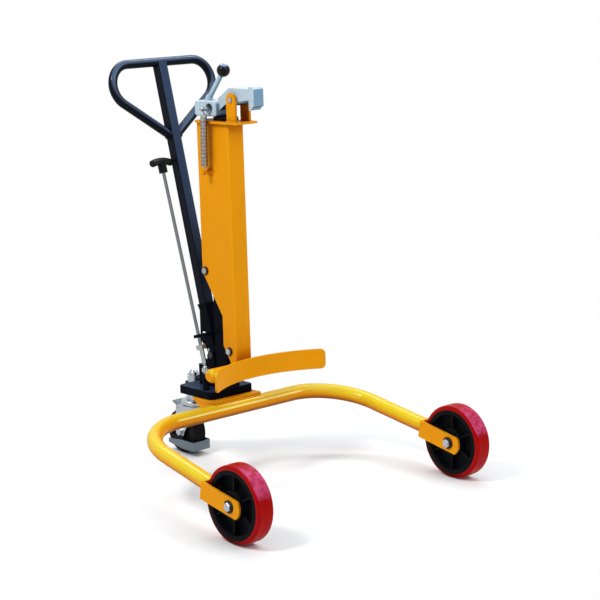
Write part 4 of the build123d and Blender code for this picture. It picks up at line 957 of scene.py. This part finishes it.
class TROLLEY_OT_stage(bpy.types.Operator):
    """Set the floor, lamps and camera"""
    bl_idname = "trolley.stage"
    bl_label = "Stage"

    def lamp(self, name, spot, target, wide, deep, watts):
        data = bpy.data.lights.new(name, "AREA")
        data.shape = "RECTANGLE"
        data.size = wide
        data.size_y = deep
        data.energy = watts
        made = bpy.data.objects.new(name, data)
        made.location = spot
        made.rotation_euler = (target - spot).to_track_quat("-Z", "Y").to_euler()
        bpy.context.scene.collection.objects.link(made)

    def sky(self, stage):
        """White to the camera; to everything else brighter overhead than at the sides."""
        f = Finish(bpy.data.worlds.new("studio"))
        heading = f.node("ShaderNodeTexCoord", out="Generated")
        rise = f.rise(heading)
        light = f.smooth(rise, 0.0, 0.9, stage.horizon, stage.sky)
        window = f.smooth(f.dot(heading, WINDOW_SIDE), 0.80, 0.97, 0.0, stage.window)
        tint = f.mix(rise + window, WHITE, SKY_BLUE)
        seen = f.shown()
        bpy.context.scene.world = f.set(
            Color=f.mix(seen, tint, WHITE), Strength=seen + (1 - seen) * (light + window))

    def floor(self, stage):
        """A pale floor with the shadow near the trolley, which turns white to the camera further off."""
        mesh = bpy.data.meshes.new("floor")
        quarters = ((-1, -1), (1, -1), (1, 1), (-1, 1))
        corners = [(x * FLOOR_REACH, y * FLOOR_REACH, 0) for x, y in quarters]
        mesh.from_pydata(corners, [], [(0, 1, 2, 3)])
        made = bpy.data.objects.new("floor", mesh)
        bpy.context.scene.collection.objects.link(made)
        f = Finish(bpy.data.materials.new("pale_floor"))
        shade = f.mix(f.noise(2.0), darker(stage.floor, 0.98), tuple(stage.floor))
        f.set(Base_Color=shade, Roughness=0.9, Specular_IOR_Level=0.1)
        spread = f.vectors("SUBTRACT", f.place(), SHADOW_CENTRE)
        away = f.node("ShaderNodeVectorMath", {"operation": "LENGTH"}, {0: spread}, "Value")
        far = f.smooth(away, SHADOW_NEAR, SHADOW_FAR)
        white = f.node("ShaderNodeEmission", None, {"Color": WHITE, "Strength": 1.0})
        plain = Flow(f.tree, f.shader.outputs[0])
        mixed = f.node("ShaderNodeMixShader", None, {0: far * f.shown(), 1: plain, 2: white})
        f.feed(f.tree.nodes["Material Output"].inputs["Surface"], mixed)
        mesh.materials.append(f.owner)

    def camera(self, stage):
        azimuth, elevation, roll = stage.azimuth, stage.elevation, stage.roll
        level = math.cos(elevation)
        back = Vector((math.sin(azimuth) * level, -math.cos(azimuth) * level, math.sin(elevation)))
        aside = Vector((math.cos(azimuth), math.sin(azimuth), 0))
        above = back.cross(aside)
        right = aside * math.cos(roll) + above * math.sin(roll)
        up = above * math.cos(roll) - aside * math.sin(roll)
        data = bpy.data.cameras.new("camera")
        data.lens = stage.lens
        data.sensor_width = 36.0
        data.clip_end = 100.0
        made = bpy.data.objects.new("camera", data)
        spot = Matrix.Translation(Vector(stage.target) + back * stage.distance)
        made.matrix_world = spot @ Matrix((right, up, back)).transposed().to_4x4()
        bpy.context.scene.collection.objects.link(made)
        bpy.context.scene.camera = made

    def execute(self, context):
        scene = context.scene
        stage = scene.trolley_stage
        scene.view_settings.view_transform = "Standard"
        self.sky(stage)
        self.floor(stage)
        self.camera(stage)
        target = Vector(stage.target)
        aside = Vector((math.cos(stage.azimuth), math.sin(stage.azimuth), 0))
        ahead = Vector((math.sin(stage.azimuth), -math.cos(stage.azimuth), 0))
        for name, lamp in LAMPS.items():
            spot = target + ahead * lamp["ahead"] + aside * lamp["aside"] + Vector((0, 0, lamp["up"]))
            self.lamp(name, spot, target, lamp["wide"], lamp["deep"], getattr(stage, name))
        return {"FINISHED"}


class TROLLEY_PT_panel(bpy.types.Panel):
    """Lists the steps that dress the trolley"""
    bl_idname = "TROLLEY_PT_panel"
    bl_label = "Drum trolley"
    bl_space_type = "VIEW_3D"
    bl_region_type = "UI"
    bl_category = "Trolley"

    def draw(self, context):
        for step in STEPS:
            self.layout.operator(step.bl_idname)
        for group in SETTINGS:
            settings = getattr(context.scene, group)
            for name in settings.__annotations__:
                self.layout.prop(settings, name)


SETTINGS = {
    "trolley_paint": PaintSettings,
    "trolley_wheel": WheelSettings,
    "trolley_spring": SpringSettings,
    "trolley_weld": WeldSettings,
    "trolley_stage": StageSettings,
}
STEPS = (
    TROLLEY_OT_frame,
    TROLLEY_OT_mast,
    TROLLEY_OT_wheels,
    TROLLEY_OT_pump,
    TROLLEY_OT_handle,
    TROLLEY_OT_clamp,
    TROLLEY_OT_spring,
    TROLLEY_OT_release,
    TROLLEY_OT_castor,
    TROLLEY_OT_fasteners,
    TROLLEY_OT_stage,
)


def register():
    for kind in (*SETTINGS.values(), *STEPS, TROLLEY_PT_panel):
        bpy.utils.register_class(kind)
    for name, kind in SETTINGS.items():
        setattr(bpy.types.Scene, name, PointerProperty(type=kind))


def unregister():
    for name in SETTINGS:
        delattr(bpy.types.Scene, name)
    for kind in reversed((*SETTINGS.values(), *STEPS, TROLLEY_PT_panel)):
        bpy.utils.unregister_class(kind)


def main():
    register()
    for step in STEPS:
        group, name = step.bl_idname.split(".")
        getattr(getattr(bpy.ops, group), name)()


if __name__ == "__main__":
    main()
